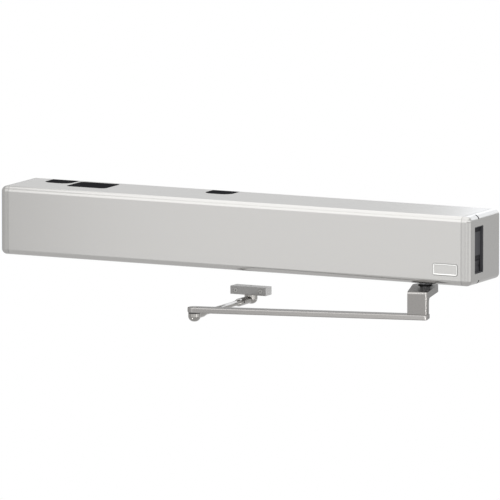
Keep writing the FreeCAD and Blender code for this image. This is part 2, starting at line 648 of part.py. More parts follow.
def cap_shell():
    """The right end cap without its window: rounded outside, hollow, with a lip and two snap arms."""
    half = "overall_height / 2"
    seam = "(overall_length / 2 - cap_width + seam_gap)"
    outer = block(("cap_width - seam_gap", "overall_depth", "overall_height"),
                  (seam, "-overall_depth", f"-{half}"))
    doc.recompute()
    end = size.overall_length / 2
    front = -size.overall_depth
    high = size.overall_height / 2

    def outside(edge):
        middle = edge.CenterOfMass
        along_box = runs(edge, 0) and at(middle.y, front)
        on_end = at(middle.x, end) and not at(middle.y, 0)
        return along_box or on_end

    outer = rounded(outer, "corner_radius", outside)
    lip_start = "(overall_length / 2 - cap_width - lip_length)"
    inset = "(cover_wall + seat_gap)"
    lip = block(("lip_length + seam_gap + 1", f"overall_depth - {inset}", f"overall_height - 2 * {inset}"),
                (lip_start, f"{inset} - overall_depth", f"{inset} - {half}"))
    lip_front = front + size.cover_wall + size.seat_gap
    lip = rounded(lip, size.corner_radius - size.cover_wall - size.seat_gap,
                  lambda e: runs(e, 0) and at(e.CenterOfMass.y, lip_front))
    hollow = block(("lip_length + cap_width - cap_wall + 1", "overall_depth - cap_wall + 1",
                    "overall_height - 2 * cap_wall"),
                   (f"{lip_start} - 1", "cap_wall - overall_depth", f"cap_wall - {half}"))
    hollow_front = front + size.cap_wall
    hollow = rounded(hollow, size.corner_radius - size.cap_wall,
                     lambda e: (runs(e, 0) and at(e.CenterOfMass.y, hollow_front)))
    shell = less(joined(outer, lip), hollow)
    reach = f"({CHASSIS_END} - chassis_wall - seat_gap)"
    arms = []
    for side in (1, -1):
        arm_low = "snap_level" if side > 0 else "-snap_level - snap_thick"
        hook_low = "snap_level - snap_hook" if side > 0 else "-snap_level - snap_thick"
        arms.append(block((f"{CAP_INNER} - {reach} + hook_length + 1", "snap_width", "snap_thick"),
                          (f"{reach} - hook_length", f"{WINDOW_Y} - snap_width / 2", arm_low)))
        arms.append(block(("hook_length", "snap_width", "snap_thick + snap_hook"),
                          (f"{reach} - hook_length", f"{WINDOW_Y} - snap_width / 2", hook_low)))
    return joined(shell, *arms)


def make_end_caps():
    """Both end caps; the right one has the switch window and two release slots."""
    window = block(("cap_wall + 2", "window_width", "window_height"),
                   ("overall_length / 2 - cap_wall - 1", f"{WINDOW_Y} - window_width / 2",
                    "-window_height / 2"))
    window = rounded(window, "window_radius", lambda e: runs(e, 0))
    slots = [block(("corner_radius * 0.75 + 1", "notch_slot", "corner_radius * 0.75 + 1"),
                   ("overall_length / 2 - corner_radius * 0.75", f"{WINDOW_Y} - notch_slot / 2", low))
             for low in ("overall_height / 2 - corner_radius * 0.75", "-overall_height / 2 - 1")]
    keep(less(cap_shell(), window, *slots), "end_cap_right")
    mirrored = doc.addObject("Part::Mirroring", "mirrored")
    mirrored.Source = cap_shell()
    mirrored.Base = FreeCAD.Vector(0, 0, 0)
    mirrored.Normal = FreeCAD.Vector(1, 0, 0)
    keep(mirrored, "end_cap_left")


def make_name_plate():
    """The bare plate on the front, with its corners rounded."""
    plate = block(("plate_width", "plate_thick", "plate_height"),
                  ("overall_length / 2 - plate_from_end - plate_width / 2", "-overall_depth - plate_thick",
                   f"{BOTTOM} + plate_from_bottom - plate_height / 2"))
    keep(rounded(plate, "plate_radius", lambda e: runs(e, 1)), "name_plate")


# Switch behind the window

def window_bezel():
    """The collar of the switch panel that lines the window of the cap."""
    rings = []
    for inset, overlap in (("seat_gap", 0), ("(seat_gap + bezel_wall)", 1)):
        core = block((f"cap_wall + seat_gap - bezel_sink + {2 * overlap}", f"window_width - 2 * {inset}",
                      f"window_height - 2 * {inset}"),
                     (f"{PANEL_FACE} - {overlap}", f"{WINDOW_Y} - window_width / 2 + {inset}",
                      f"{inset} - window_height / 2"))
        rings.append(core)
    rings[0] = rounded(rings[0], size.window_radius - size.seat_gap, lambda e: runs(e, 0))
    return less(*rings)


def make_switch():
    """The black panel, the rocker's housing and the rocker on its two pivot pins."""
    middle = "(-rocker_place)"
    wide = "(window_width + 2 * panel_overlap)"
    tall = "(window_height + 2 * (snap_level - snap_hook - seat_gap - window_height / 2))"
    panel = block(("panel_thick", wide, tall), (PANEL_BACK, f"{WINDOW_Y} - {wide} / 2", f"-{tall} / 2"))
    low_leg = "-rocker_place + rocker_half + rocker_room + housing_wall + leg_width / 2"
    legs = [block((f"{PANEL_BACK} - {CHASSIS_END} + 1", "leg_width", "leg_height"),
                  (CHASSIS_END, f"{WINDOW_Y} - leg_width / 2", low))
            for low in (f"{tall} / 2 - leg_height - 2", low_leg)]
    room_y = "(rocker_width + 2 * seat_gap)"
    room_z = "(2 * (rocker_half + rocker_room))"
    opening = block(("panel_thick + 2", room_y, room_z),
                    (f"{PANEL_BACK} - 1", f"{WINDOW_Y} - {room_y} / 2", f"{middle} - {room_z} / 2"))
    door = block(("2 * door_step", "window_width - 2 * (bezel_wall + door_margin)", "window_height / 2"),
                 (f"{PANEL_FACE} - door_step", f"{WINDOW_Y} - window_width / 2 + bezel_wall + door_margin",
                  "-window_height / 8"))
    keep(joined(less(panel, opening), *legs, door, window_bezel()), "switch_panel")

    shell = block(("housing_depth", f"{room_y} + 2 * housing_wall", f"{room_z} + 2 * housing_wall"),
                  (f"{PANEL_BACK} - housing_depth", f"{WINDOW_Y} - {room_y} / 2 - housing_wall",
                   f"{middle} - {room_z} / 2 - housing_wall"))
    room = block(("housing_depth", room_y, room_z),
                 (f"{PANEL_BACK} - housing_depth + housing_wall", f"{WINDOW_Y} - {room_y} / 2",
                  f"{middle} - {room_z} / 2"))
    bores = disc("rocker_pin + running_gap", f"{room_y} + 2 * (housing_wall - 1)",
                 (ROCKER_X, f"{WINDOW_Y} - {room_y} / 2 - housing_wall + 1", middle), "y")
    keep(less(shell, room, bores), "rocker_housing")

    body = new_body("rocker_body")
    sketch = sketch_on(body, "XZ_Plane", "-rocker_width / 2")
    outline(sketch, [("-3", "-rocker_half / 2"), ("rocker_reach - 1.5", "-rocker_half"),
                     ("rocker_reach", "-rocker_half"), ("rocker_reach - 1.4", "0"),
                     ("rocker_reach", "rocker_half"), ("rocker_reach - 1.5", "rocker_half"),
                     ("-3", "rocker_half / 2")])
    pad(body, sketch, "rocker_width")
    place(body, (ROCKER_X, WINDOW_Y, middle))
    pins = disc("rocker_pin", f"{room_y} + 2 * (housing_wall - 1.3)",
                (ROCKER_X, f"{WINDOW_Y} - {room_y} / 2 - housing_wall + 1.3", middle), "y")
    keep(joined(body, pins), "rocker")


ROCKER_X = "(overall_length / 2 - cap_wall - rocker_reach - 1)"


# Gear teeth by the involute formula

def tooth_outline(teeth, module):
    """The closed outline of an involute gear with a tooth centred on its own X axis."""
    angle = math.radians(size.pressure_angle)
    pitch = teeth * module / 2
    base = pitch * math.cos(angle)
    root = pitch - 1.25 * module
    outer = pitch + module
    half_tooth = math.pi / (2 * teeth) - size.backlash / (2 * pitch)
    involute = math.tan(angle) - angle
    start = max(base, root)
    steps = 4
    flank = []
    for n in range(steps):
        radius = start + (outer - start) * n / (steps - 1)
        roll = math.acos(min(1.0, base / radius))
        flank.append((radius, half_tooth + involute - (math.tan(roll) - roll)))
    if root < base:
        flank.insert(0, (root, flank[0][1]))
    points = []
    for tooth in range(teeth):
        middle = 2 * math.pi * tooth / teeth
        for radius, offset in flank:
            points.append((radius, middle - offset))
        for radius, offset in reversed(flank):
            points.append((radius, middle + offset))
    return [FreeCAD.Vector(r * math.cos(a), r * math.sin(a), 0) for r, a in points]


def gear(label, teeth, module, face, bore, spot, turn, holes=0):
    """A spur gear with a bore, extruded upwards from its spot and turned into mesh."""
    points = tooth_outline(int(teeth), module)
    shape = Part.Face(Part.makePolygon(points + points[:1])).extrude(FreeCAD.Vector(0, 0, face))
    shape = shape.cut(Part.makeCylinder(bore, face))
    pitch = teeth * module / 2
    for n in range(holes):
        turn_hole = 2 * math.pi * n / holes
        spoke = FreeCAD.Vector(math.cos(turn_hole), math.sin(turn_hole), 0) * (bore + pitch - module) / 2
        shape = shape.cut(Part.makeCylinder((pitch - bore) * 0.2, face, spoke))
    item = doc.addObject("Part::Feature", "teeth")
    item.Shape = shape
    item.Placement = FreeCAD.Placement(FreeCAD.Vector(), FreeCAD.Rotation(FreeCAD.Vector(0, 0, 1), turn))
    for axis, text in zip("xyz", spot):
        item.setExpression("Placement.Base." + axis, formula(text))
    return item if label is None else keep(item, label)


def make_gear_train():
    """Motor pinion, idler and output gear: two spur stages, each in mesh at rest."""
    half_tooth = 180 / size.pinion_teeth
    bore = size.idler_shaft_radius + size.press_gap
    spindle_bore = size.spindle_radius + size.press_gap
    gear("output_gear", size.output_teeth, size.output_module, size.large_face, spindle_bore,
         (SPINDLE_X, SPINDLE_Y, OUTPUT_LEVEL), 180, 6)
    wheel = gear(None, size.idler_teeth, size.idler_module, size.small_face, bore,
                 (IDLER_X, SPINDLE_Y, IDLER_LEVEL), 180, 5)
    under_wheel = (IDLER_X, SPINDLE_Y, f"{IDLER_LEVEL} - level_gap")
    hub = less(disc("idler_shaft_radius * 1.9", "level_gap", under_wheel),
               disc("idler_shaft_radius + press_gap", "level_gap", under_wheel))
    keep(joined(wheel, hub), "idler_gear")
    pinion = gear(None, size.pinion_teeth, size.output_module, size.large_face, bore,
                  (IDLER_X, SPINDLE_Y, OUTPUT_LEVEL), half_tooth)
    sleeve_low = f"({FLOOR_TOP} + bush_flange + seat_gap)"
    under_pinion = (IDLER_X, SPINDLE_Y, sleeve_low)
    sleeve_length = f"{OUTPUT_LEVEL} - {sleeve_low}"
    sleeve = less(disc("idler_shaft_radius * 1.5", sleeve_length, under_pinion),
                  disc("idler_shaft_radius + press_gap", sleeve_length, under_pinion))
    keep(joined(pinion, sleeve), "idler_pinion")
    gear("motor_pinion", size.pinion_teeth, size.idler_module, size.small_face,
         size.motor_shaft_radius + size.press_gap, (MOTOR_X, SPINDLE_Y, IDLER_LEVEL), half_tooth)
    gear("spindle_pinion", size.rack_pinion_teeth, size.rack_module, size.rack_height, spindle_bore,
         (SPINDLE_X, SPINDLE_Y, RACK_LEVEL), 90)


def make_rack():
    """The rack: straight flanks at the pressure angle, a space in front of the spindle at rest."""
    module = size.rack_module
    slope = math.tan(math.radians(size.pressure_angle))
    tooth_pitch = math.pi * module
    half = tooth_pitch / 4 - size.backlash / 2
    points = []
    for n in range(int(size.rack_teeth)):
        middle = (n - size.rack_lead + 0.5) * tooth_pitch
        low = half + 1.25 * module * slope
        high = half - module * slope
        points += [(middle - low, 1.25 * module), (middle - high, -module), (middle + high, -module),
                   (middle + low, 1.25 * module)]
    left = -size.rack_lead * tooth_pitch
    right = (size.rack_teeth - size.rack_lead) * tooth_pitch
    back = 1.25 * module + size.rack_back
    points += [(right, 1.25 * module), (right, back), (left, back), (left, 1.25 * module)]
    corners = [FreeCAD.Vector(x, y, 0) for x, y in points]
    bar = doc.addObject("Part::Feature", "rack_bar")
    section = Part.Face(Part.makePolygon(corners + corners[:1]))
    bar.Shape = section.extrude(FreeCAD.Vector(0, 0, size.rack_height))
    for axis, text in zip("xyz", (SPINDLE_X, RACK_PITCH_Y, RACK_LEVEL)):
        bar.setExpression("Placement.Base." + axis, formula(text))
    socket = disc("pull_rod_radius * 0.75 + press_gap", "spigot_length + 2",
                  (f"{RACK_LEFT} - 1", ROD_Y, ROD_Z), "x")
    keep(less(bar, socket), "rack")


def make_spindle():
    """The output spindle, turned, with the square that drives the arm."""
    neck = "(gearbox_floor + hub_drop)"
    top = f"({LID_TOP} + bush_flange + seat_gap + 6)"
    base = "(-overall_height / 2 - hub_drop)"
    body = turned("spindle_turned",
                  [("0", "0"), ("spindle_neck", "0"), ("spindle_neck", "hub_drop - seal_reach"),
                   ("seal_radius", "hub_drop - seal_reach"), ("seal_radius", "hub_drop + cover_wall"),
                   ("spindle_neck", "hub_drop + cover_wall"), ("spindle_neck", f"{neck} - 1"),
                   ("spindle_radius", neck),
                   ("spindle_radius", f"{top} - {base} - 5"), ("spindle_radius * 0.6", f"{top} - {base} - 5"),
                   ("spindle_radius * 0.6", f"{top} - {base}"), ("0", f"{top} - {base}")],
                  (SPINDLE_X, SPINDLE_Y, base))
    square = block(("square_side", "square_side", "hub_thick"), ("0", "0", "0"))
    square.Placement = FreeCAD.Placement(FreeCAD.Vector(), arm_turn())
    along = "square_side / 2 * cos(arm_angle * 1 deg)"
    across = "square_side / 2 * sin(arm_angle * 1 deg)"
    square.setExpression("Placement.Base.x", formula(f"{SPINDLE_X} - {along} + {across}"))
    square.setExpression("Placement.Base.y", formula(f"{SPINDLE_Y} - {along} - {across}"))
    square.setExpression("Placement.Base.z", formula(f"{base} - hub_thick"))
    thread = disc("2.5", "hub_thick + 2", (SPINDLE_X, SPINDLE_Y, f"{base} - hub_thick - 1"))
    keep(less(joined(body, square), thread), "output_spindle")


def arm_turn():
    """The turn of the main arm about the spindle at rest."""
    return FreeCAD.Rotation(FreeCAD.Vector(0, 0, 1), size.arm_angle)


def make_gearbox():
    """Floor with rear wall, lid, pillars, screws and bearing bushes."""
    wall_front = "(chassis_wall + case_wall)"
    floor = block((CASE_WIDTH, f"{CASE_DEPTH} - chassis_wall", "case_thick"),
                  (CASE_LEFT, f"-{CASE_DEPTH}", f"{FLOOR_TOP} - case_thick"))
    wall = block((CASE_WIDTH, "case_wall", f"{LID_LEVEL} - {FLOOR_TOP} + case_thick"),
                 (CASE_LEFT, f"-{wall_front}", f"{FLOOR_TOP} - case_thick"))
    bores = [disc("spindle_radius + running_gap + bush_wall + press_gap", "case_thick + 2",
                  (SPINDLE_X, SPINDLE_Y, f"{FLOOR_TOP} - case_thick - 1")),
             disc("idler_shaft_radius + running_gap + bush_wall + press_gap", "case_thick + 2",
                  (IDLER_X, SPINDLE_Y, f"{FLOOR_TOP} - case_thick - 1"))]
    columns = (f"{CASE_LEFT} + pillar_inset", f"{CASE_LEFT} + {CASE_WIDTH} - pillar_inset")
    rows = (f"{FLOOR_TOP} + wall_screw_rise", f"{LID_LEVEL} - wall_screw_drop")
    wall_screws = [(x, z) for z in rows for x in columns]
    screw_holes = [disc("wall_screw + running_gap", "case_wall + 2", (x, f"-{wall_front} - 1", z), "y")
                   for x, z in wall_screws]
    keep(less(joined(floor, wall), *bores, *screw_holes), "gearbox_case")

    lid = block((CASE_WIDTH, f"{CASE_DEPTH} - chassis_wall", "lid_thick"),
                (CASE_LEFT, f"-{CASE_DEPTH}", LID_LEVEL))
    lid_bores = [disc("spindle_radius + running_gap + bush_wall + press_gap", "lid_thick + 2",
                      (SPINDLE_X, SPINDLE_Y, f"{LID_LEVEL} - 1")),
                 disc("idler_shaft_radius + running_gap + bush_wall + press_gap", "lid_thick + 2",
                      (IDLER_X, SPINDLE_Y, f"{LID_LEVEL} - 1")),
                 disc("motor_shaft_radius + 3", "lid_thick + 2", (MOTOR_X, SPINDLE_Y, f"{LID_LEVEL} - 1"))]
    front_row = f"(pillar_inset - {CASE_DEPTH})"
    corners = [(x, front_row) for x in columns]
    rear_row = "(-chassis_wall - case_wall / 2)"
    rear = [(f"{CASE_LEFT} + 2 * pillar_inset", rear_row),
            (f"{CASE_LEFT} + {CASE_WIDTH} - 2 * pillar_inset", rear_row)]
    lid_holes = [disc("lid_screw + running_gap", "lid_thick + 2", (x, y, f"{LID_LEVEL} - 1"))
                 for x, y in corners]
    rear_holes = [disc("edge_screw + running_gap", "lid_thick + 2", (x, y, f"{LID_LEVEL} - 1"))
                  for x, y in rear]
    keep(less(lid, *lid_bores, *lid_holes, *rear_holes), "gearbox_lid")

    pillars = []
    for x, y in corners:
        post = disc("pillar_radius", f"{LID_LEVEL} - {FLOOR_TOP}", (x, y, FLOOR_TOP))
        pillars.append(less(post, disc("lid_screw + running_gap", "12", (x, y, f"{LID_LEVEL} - 11"))))
    keep(group(*pillars), "gearbox_pillars")

    lid_screws = [screw("lid_screw", "lid_thick + 9", "1.8 * lid_screw", "1.5 * lid_screw", (x, y, LID_TOP))
                  for x, y in corners]
    lid_screws += [screw("edge_screw", "lid_thick - 0.5", "1.6 * edge_screw", "1.3 * edge_screw",
                         (x, y, LID_TOP)) for x, y in rear]
    lid_screws += [screw("wall_screw", "case_wall", "1.7 * wall_screw", "1.2 * wall_screw",
                         (x, f"-{wall_front}", z), "-y")
                   for x, z in wall_screws]
    keep(group(*lid_screws), "gearbox_screws")

    keep(bush("spindle_radius", "case_thick", (SPINDLE_X, SPINDLE_Y, f"{FLOOR_TOP} - case_thick")),
         "spindle_bush_lower")
    keep(bush("spindle_radius", "lid_thick", (SPINDLE_X, SPINDLE_Y, LID_LEVEL)), "spindle_bush_upper")
    keep(group(bush("idler_shaft_radius", "case_thick", (IDLER_X, SPINDLE_Y, f"{FLOOR_TOP} - case_thick")),
               bush("idler_shaft_radius", "lid_thick", (IDLER_X, SPINDLE_Y, LID_LEVEL))), "idler_bushes")
    keep(disc("idler_shaft_radius", f"{LID_TOP} + bush_flange - {FLOOR_TOP} + case_thick - 1",
              (IDLER_X, SPINDLE_Y, f"{FLOOR_TOP} - case_thick + 0.5")), "idler_shaft")


def make_motor():
    """The upright motor on the lid, with its shaft that reaches down into the gearbox."""
    bore = "motor_shaft_radius + 0.5"
    can = turned("motor_can",
                 [(bore, "0"), ("motor_radius", "0"), ("motor_radius", "motor_flange"),
                  ("motor_radius - 2", "motor_flange"), ("motor_radius - 2", f"{MOTOR_HEIGHT} - motor_boss"),
                  ("motor_radius - 5", MOTOR_HEIGHT), ("motor_boss_radius", MOTOR_HEIGHT),
                  ("motor_boss_radius", f"{MOTOR_HEIGHT} + motor_boss"),
                  (bore, f"{MOTOR_HEIGHT} + motor_boss")],
                 (MOTOR_X, SPINDLE_Y, LID_TOP))
    keep(can, "motor_body")
    keep(disc("motor_shaft_radius", f"{LID_TOP} + {MOTOR_HEIGHT} - {IDLER_LEVEL}",
              (MOTOR_X, SPINDLE_Y, IDLER_LEVEL)), "motor_shaft")


def make_encoder():
    """A slotted disc on the spindle's top end and the fork sensor that reads it."""
    low = f"({LID_TOP} + bush_flange + 5 * seat_gap)"
    wheel = disc("encoder_radius", "encoder_thick", (SPINDLE_X, SPINDLE_Y, low))
    bore = disc("spindle_radius * 0.6 + press_gap", "encoder_thick + 2", (SPINDLE_X, SPINDLE_Y, f"{low} - 1"))
    slots = []
    for n in range(12):
        turn = f"{n * 30} * 1 deg"
        slots.append(disc("slot_radius", "encoder_thick + 2",
                          (f"{SPINDLE_X} + slot_circle * cos({turn})",
                           f"{SPINDLE_Y} + slot_circle * sin({turn})", f"{low} - 1")))
    keep(less(wheel, bore, *slots), "encoder_disc")
    foot = f"({SPINDLE_X} + sensor_place)"
    fork = block(("sensor_length", "sensor_width", f"{low} + 4 * encoder_thick - {LID_TOP}"),
                 (foot, f"{SPINDLE_Y} - sensor_width / 2", LID_TOP))
    gap = block(("sensor_reach + 1", "sensor_width + 2", "encoder_thick + 2"),
                (f"{foot} - 1", f"{SPINDLE_Y} - sensor_width / 2 - 1", f"{low} - 1"))
    keep(less(fork, gap), "encoder_sensor")


# Closer spring

def make_closer():
    """Rack guide, pull rod, piston, spring tube with plug, saddles and the coil spring."""
    guide_left = f"({SPINDLE_X} - guide_length / 2)"
    back_front = f"({RACK_ROOT_Y} + rack_back + seat_gap)"
    guide_back = "(-chassis_wall - case_wall)"
    rail = block(("guide_length", f"{guide_back} - {back_front}", "rack_height + level_gap + 1"),
                 (guide_left, back_front, FLOOR_TOP))
    shelf = block(("guide_length", f"{guide_back} - {RACK_PITCH_Y} + rack_module", "level_gap - seat_gap"),
                  (guide_left, f"{RACK_PITCH_Y} - rack_module", FLOOR_TOP))
    keep(joined(rail, shelf), "rack_guide")

    rod_left = f"({PISTON_X} - 0.1)"
    stem = disc("pull_rod_radius", f"{RACK_LEFT} - {rod_left}", (rod_left, ROD_Y, ROD_Z), "x")
    spigot = disc("pull_rod_radius * 0.75", "spigot_length", (RACK_LEFT, ROD_Y, ROD_Z), "x")
    keep(joined(stem, spigot), "pull_rod")

    keep(turned("piston_body",
                [("pull_rod_radius + press_gap", "0"), ("tube_radius - tube_wall - 0.2", "0"),
                 ("tube_radius - tube_wall - 0.2", "piston_length"),
                 ("pull_rod_radius + press_gap", "piston_length")],
                (PISTON_X, ROD_Y, ROD_Z), "x"), "piston")

    inner = "tube_radius - tube_wall"
    keep(turned("tube_body",
                [("0", "0"), ("tube_radius", "0"), ("tube_radius", "tube_length"), (inner, "tube_length"),
                 (inner, "tube_wall"), ("0", "tube_wall")], (TUBE_LEFT, ROD_Y, ROD_Z), "x"), "spring_tube")

    hole = "pull_rod_radius + running_gap"
    keep(turned("plug_body",
                [(hole, "-plug_reach"), (f"{inner} - 0.05", "-plug_reach"), (f"{inner} - 0.05", "0"),
                 ("tube_radius + 1.5", "0"), ("tube_radius + 1.5", "plug_thick"), (hole, "plug_thick")],
                (TUBE_RIGHT, ROD_Y, ROD_Z), "x"), "spring_end_plug")

    saddles = []
    for share in (0.2, 0.75):
        post = block(("saddle_width", "saddle_reach - chassis_wall", "saddle_tall"),
                     (f"{TUBE_LEFT} + tube_length * {share}", "-saddle_reach", f"{ROD_Z} - saddle_tall / 2"))
        cradle = disc("tube_radius + 0.1", "tube_length + 2", (f"{TUBE_LEFT} - 1", ROD_Y, ROD_Z), "x")
        saddles.append(less(post, cradle))
    keep(group(*saddles), "tube_saddles")
    make_spring()


def make_spring():
    """The closer spring: square wire wound in a polygon, with a closed turn at each end."""
    doc.recompute()
    start = size.evalExpression(formula(f"{PISTON_X} + piston_length"))
    end = size.evalExpression(formula(f"{TUBE_RIGHT} - plug_reach"))
    radius = (size.tube_radius - size.tube_wall + size.pull_rod_radius) / 2
    wire = size.spring_wire
    sides = 8
    turns = int(size.spring_turns)
    closed = sides
    total = turns * sides
    free = end - start - wire - size.seat_gap
    outer = radius + wire / 2
    inner = radius - wire / 2
    heights = []
    level = 0.0
    for n in range(total + 1):
        heights.append(level)
        active = closed <= n < total - closed
        level += (free - 2 * wire * 1.1) / (total - 2 * closed) if active else wire * 1.1 / closed
    scale = free / heights[-1]
    sections = []
    for n, height in enumerate(heights):
        turn = 2 * math.pi * n / sides
        across = (math.cos(turn), math.sin(turn))
        low = height * scale
        square = [(outer, low), (outer, low + wire), (inner, low + wire), (inner, low)]
        corners = [FreeCAD.Vector(r * across[0], r * across[1], z) for r, z in square]
        sections.append(Part.makePolygon(corners + corners[:1]))
    coil = Part.makeLoft(sections, True, True)
    item = doc.addObject("Part::Feature", "coil")
    item.Shape = coil
    place(item, (f"{PISTON_X} + piston_length + seat_gap / 2", ROD_Y, ROD_Z), "x")
    keep(item, "closer_spring")


# Main arm

def make_main_arm():
    """One forged crank: hub eye, web and bar, with rounded folds."""
    body = new_body("crank_body")
    top = "(-overall_height / 2 - hub_drop)"
    low = "(-overall_height / 2 - arm_drop)"
    near = "(-web_front - bar_step)"
    bar = sketch_on(body, "XY_Plane", low)
    outline(bar, [("-bar_reach", near), ("hub_radius", near), ("hub_radius", f"{near} + bar_width"),
                  ("-bar_reach", f"{near} + bar_width")])
    pad(body, bar, "bar_height")
    end = sketch_on(body, "XY_Plane", low)
    ring(end, "-bar_reach", f"{near} + bar_width / 2", "bar_width / 2")
    pad(body, end, "bar_height")
    doc.recompute()
    high = size.evalExpression(formula(top))
    front = -size.web_front
    bar_front = front - size.bar_step
    soften(body, "bar_corner", lambda e: runs(e, 2) and at(e.CenterOfMass.x, size.hub_radius)
           and at(e.CenterOfMass.y, bar_front))
    soften(body, "edge_round", lambda e: runs(e, 0) and at(e.CenterOfMass.y, bar_front))

    plate = sketch_on(body, "XY_Plane", f"{top} - hub_thick")
    outline(plate, [("hub_radius", "0"), ("-hub_radius", "0"), ("-hub_radius * 0.97", "-hub_radius * 0.3"),
                    ("-web_left", "-web_front"), ("hub_radius", "-web_front")])
    pad(body, plate, "hub_thick")
    eye = sketch_on(body, "XY_Plane", f"{top} - hub_thick")
    ring(eye, "0", "0", "hub_radius")
    pad(body, eye, "hub_thick")
    web = sketch_on(body, "XY_Plane", f"{low} + edge_round")
    outline(web, [("-web_left", "-web_front"), ("hub_radius", "-web_front"),
                  ("hub_radius", "web_thick - web_front"), ("-web_left", "web_thick - web_front")])
    pad(body, web, f"{top} - {low} - edge_round")
    soften(body, "fold_radius", lambda e: runs(e, 0) and at(e.CenterOfMass.y, front)
           and at(e.CenterOfMass.z, high))
    soften(body, "inner_fold", lambda e: runs(e, 0) and at(e.CenterOfMass.y, front + size.web_thick)
           and at(e.CenterOfMass.z, high - size.hub_thick))
    pin_hole = sketch_on(body, "XY_Plane", f"{low} - 1")
    ring(pin_hole, "-bar_reach", f"{near} + bar_width / 2", "elbow_pin_radius + press_gap")
    pocket(body, pin_hole, "bar_height + 2", True)
    square = sketch_on(body, "XY_Plane", f"{top} - hub_thick - 1")
    half = "(square_side / 2 + running_gap)"
    outline(square, [(f"-{half}", f"-{half}"), (half, f"-{half}"), (half, half), (f"-{half}", half)])
    pocket(body, square, "hub_thick + 2", True)

    rest = block(("web_corner + 1", "web_corner + 1", f"{top} - {low}"),
                 ("hub_radius - web_corner", "-web_front - 1", f"{low} + bar_height"))
    kept = disc("web_corner", f"{top} - {low}", ("hub_radius - web_corner", "web_corner - web_front",
                                                f"{low} + bar_height"))
    arm = less(body, less(rest, kept))
    arm.Placement = FreeCAD.Placement(FreeCAD.Vector(), arm_turn())
    arm.setExpression("Placement.Base.x", formula(SPINDLE_X))
    arm.setExpression("Placement.Base.y", formula(SPINDLE_Y))
    keep(arm, "main_arm")

    keep(screw("arm_screw_radius", "hub_thick - 2", "arm_screw_head", "4",
               (SPINDLE_X, SPINDLE_Y, f"{top} - hub_thick"), "-z"), "arm_screw")


def make_elbow():
    """The elbow pin with its low head, the black washer and the forearm rod with its domed eye."""
    bar_low = "(-overall_height / 2 - arm_drop)"
    bar_top = f"({bar_low} + bar_height)"
    eye_top = f"({bar_low} - elbow_gap)"
    depth = "(bar_height + elbow_gap + eye_height * 0.6)"
    head = "(elbow_pin_radius + pin_head)"
    keep(turned("elbow_pin_body",
                [("0", f"-{depth}"), ("elbow_pin_radius", f"-{depth}"), ("elbow_pin_radius", "0"),
                 (head, "0"), (head, "seat_gap"), (f"{head} - seat_gap", "2 * seat_gap"),
                 ("0", "2 * seat_gap")], (ELBOW_X, ELBOW_Y, bar_top)), "elbow_pin")
    keep(turned("washer_body",
                [("elbow_pin_radius + running_gap", "0"), ("eye_radius - 0.4", "0"),
                 ("eye_radius - 0.4", "elbow_gap - 0.1"),
                 ("elbow_pin_radius + running_gap", "elbow_gap - 0.1")],
                (ELBOW_X, ELBOW_Y, f"{eye_top} + 0.05")), "elbow_washer")

    eye = disc("eye_radius", "eye_height", (ELBOW_X, ELBOW_Y, f"{eye_top} - eye_height"))
    doc.recompute()
    eye_low = size.evalExpression(formula(f"{eye_top} - eye_height"))
    eye = rounded(eye, "eye_dome", lambda e: at(e.BoundBox.ZMin, eye_low) and at(e.BoundBox.ZMax, eye_low))
    plain = f"({SHOE_Y} - {ELBOW_Y} - {COLLAR_TO_SHOE})"
    neck = disc("neck_radius", "neck_length", (ELBOW_X, ELBOW_Y, FOREARM_Z), "y")
    taper = cone("neck_radius", "rod_radius", "neck_taper",
                 (ELBOW_X, f"{ELBOW_Y} + neck_length", FOREARM_Z), "y")
    above = block(("neck_radius * 2 + 2", "neck_length + neck_taper + 1", "neck_radius * 2"),
                  (f"{ELBOW_X} - neck_radius - 1", ELBOW_Y, eye_top))
    rod = disc("rod_radius", plain, (ELBOW_X, ELBOW_Y, FOREARM_Z), "y")
    rod = less(joined(neck, taper, rod), above)
    flare = cone("rod_radius", "collar_radius", "flare_length",
                 (ELBOW_X, f"{ELBOW_Y} + {plain}", FOREARM_Z), "y")
    collar_start = f"({ELBOW_Y} + {plain} + flare_length)"
    collar = disc("collar_radius", "collar_length", (ELBOW_X, collar_start, FOREARM_Z), "y")
    bore = disc("shank_radius + running_gap", "shank_length + 2.5",
                (ELBOW_X, f"{collar_start} + collar_length - shank_length - 2", FOREARM_Z), "y")
    screw_spot = f"({collar_start} + collar_length / 2)"
    tap = disc("set_screw_radius + press_gap", "collar_radius + 1", (ELBOW_X, screw_spot, FOREARM_Z), "x")
    pin_bore = disc("elbow_pin_radius + running_gap", "eye_height * 0.6 + 0.4 + 1",
                    (ELBOW_X, ELBOW_Y, f"{eye_top} - eye_height * 0.6 - 0.4"))
    keep(less(joined(eye, rod, flare, collar), bore, tap, pin_bore), "forearm_rod")

    keep(disc("set_screw_radius", "collar_radius - shank_radius - 0.5",
              (f"{ELBOW_X} + shank_radius + running_gap", screw_spot, FOREARM_Z), "x"), "set_screw")


COLLAR_TO_SHOE = "(flare_length + collar_length + joint_seam + socket_length + shoe_eye_radius)"


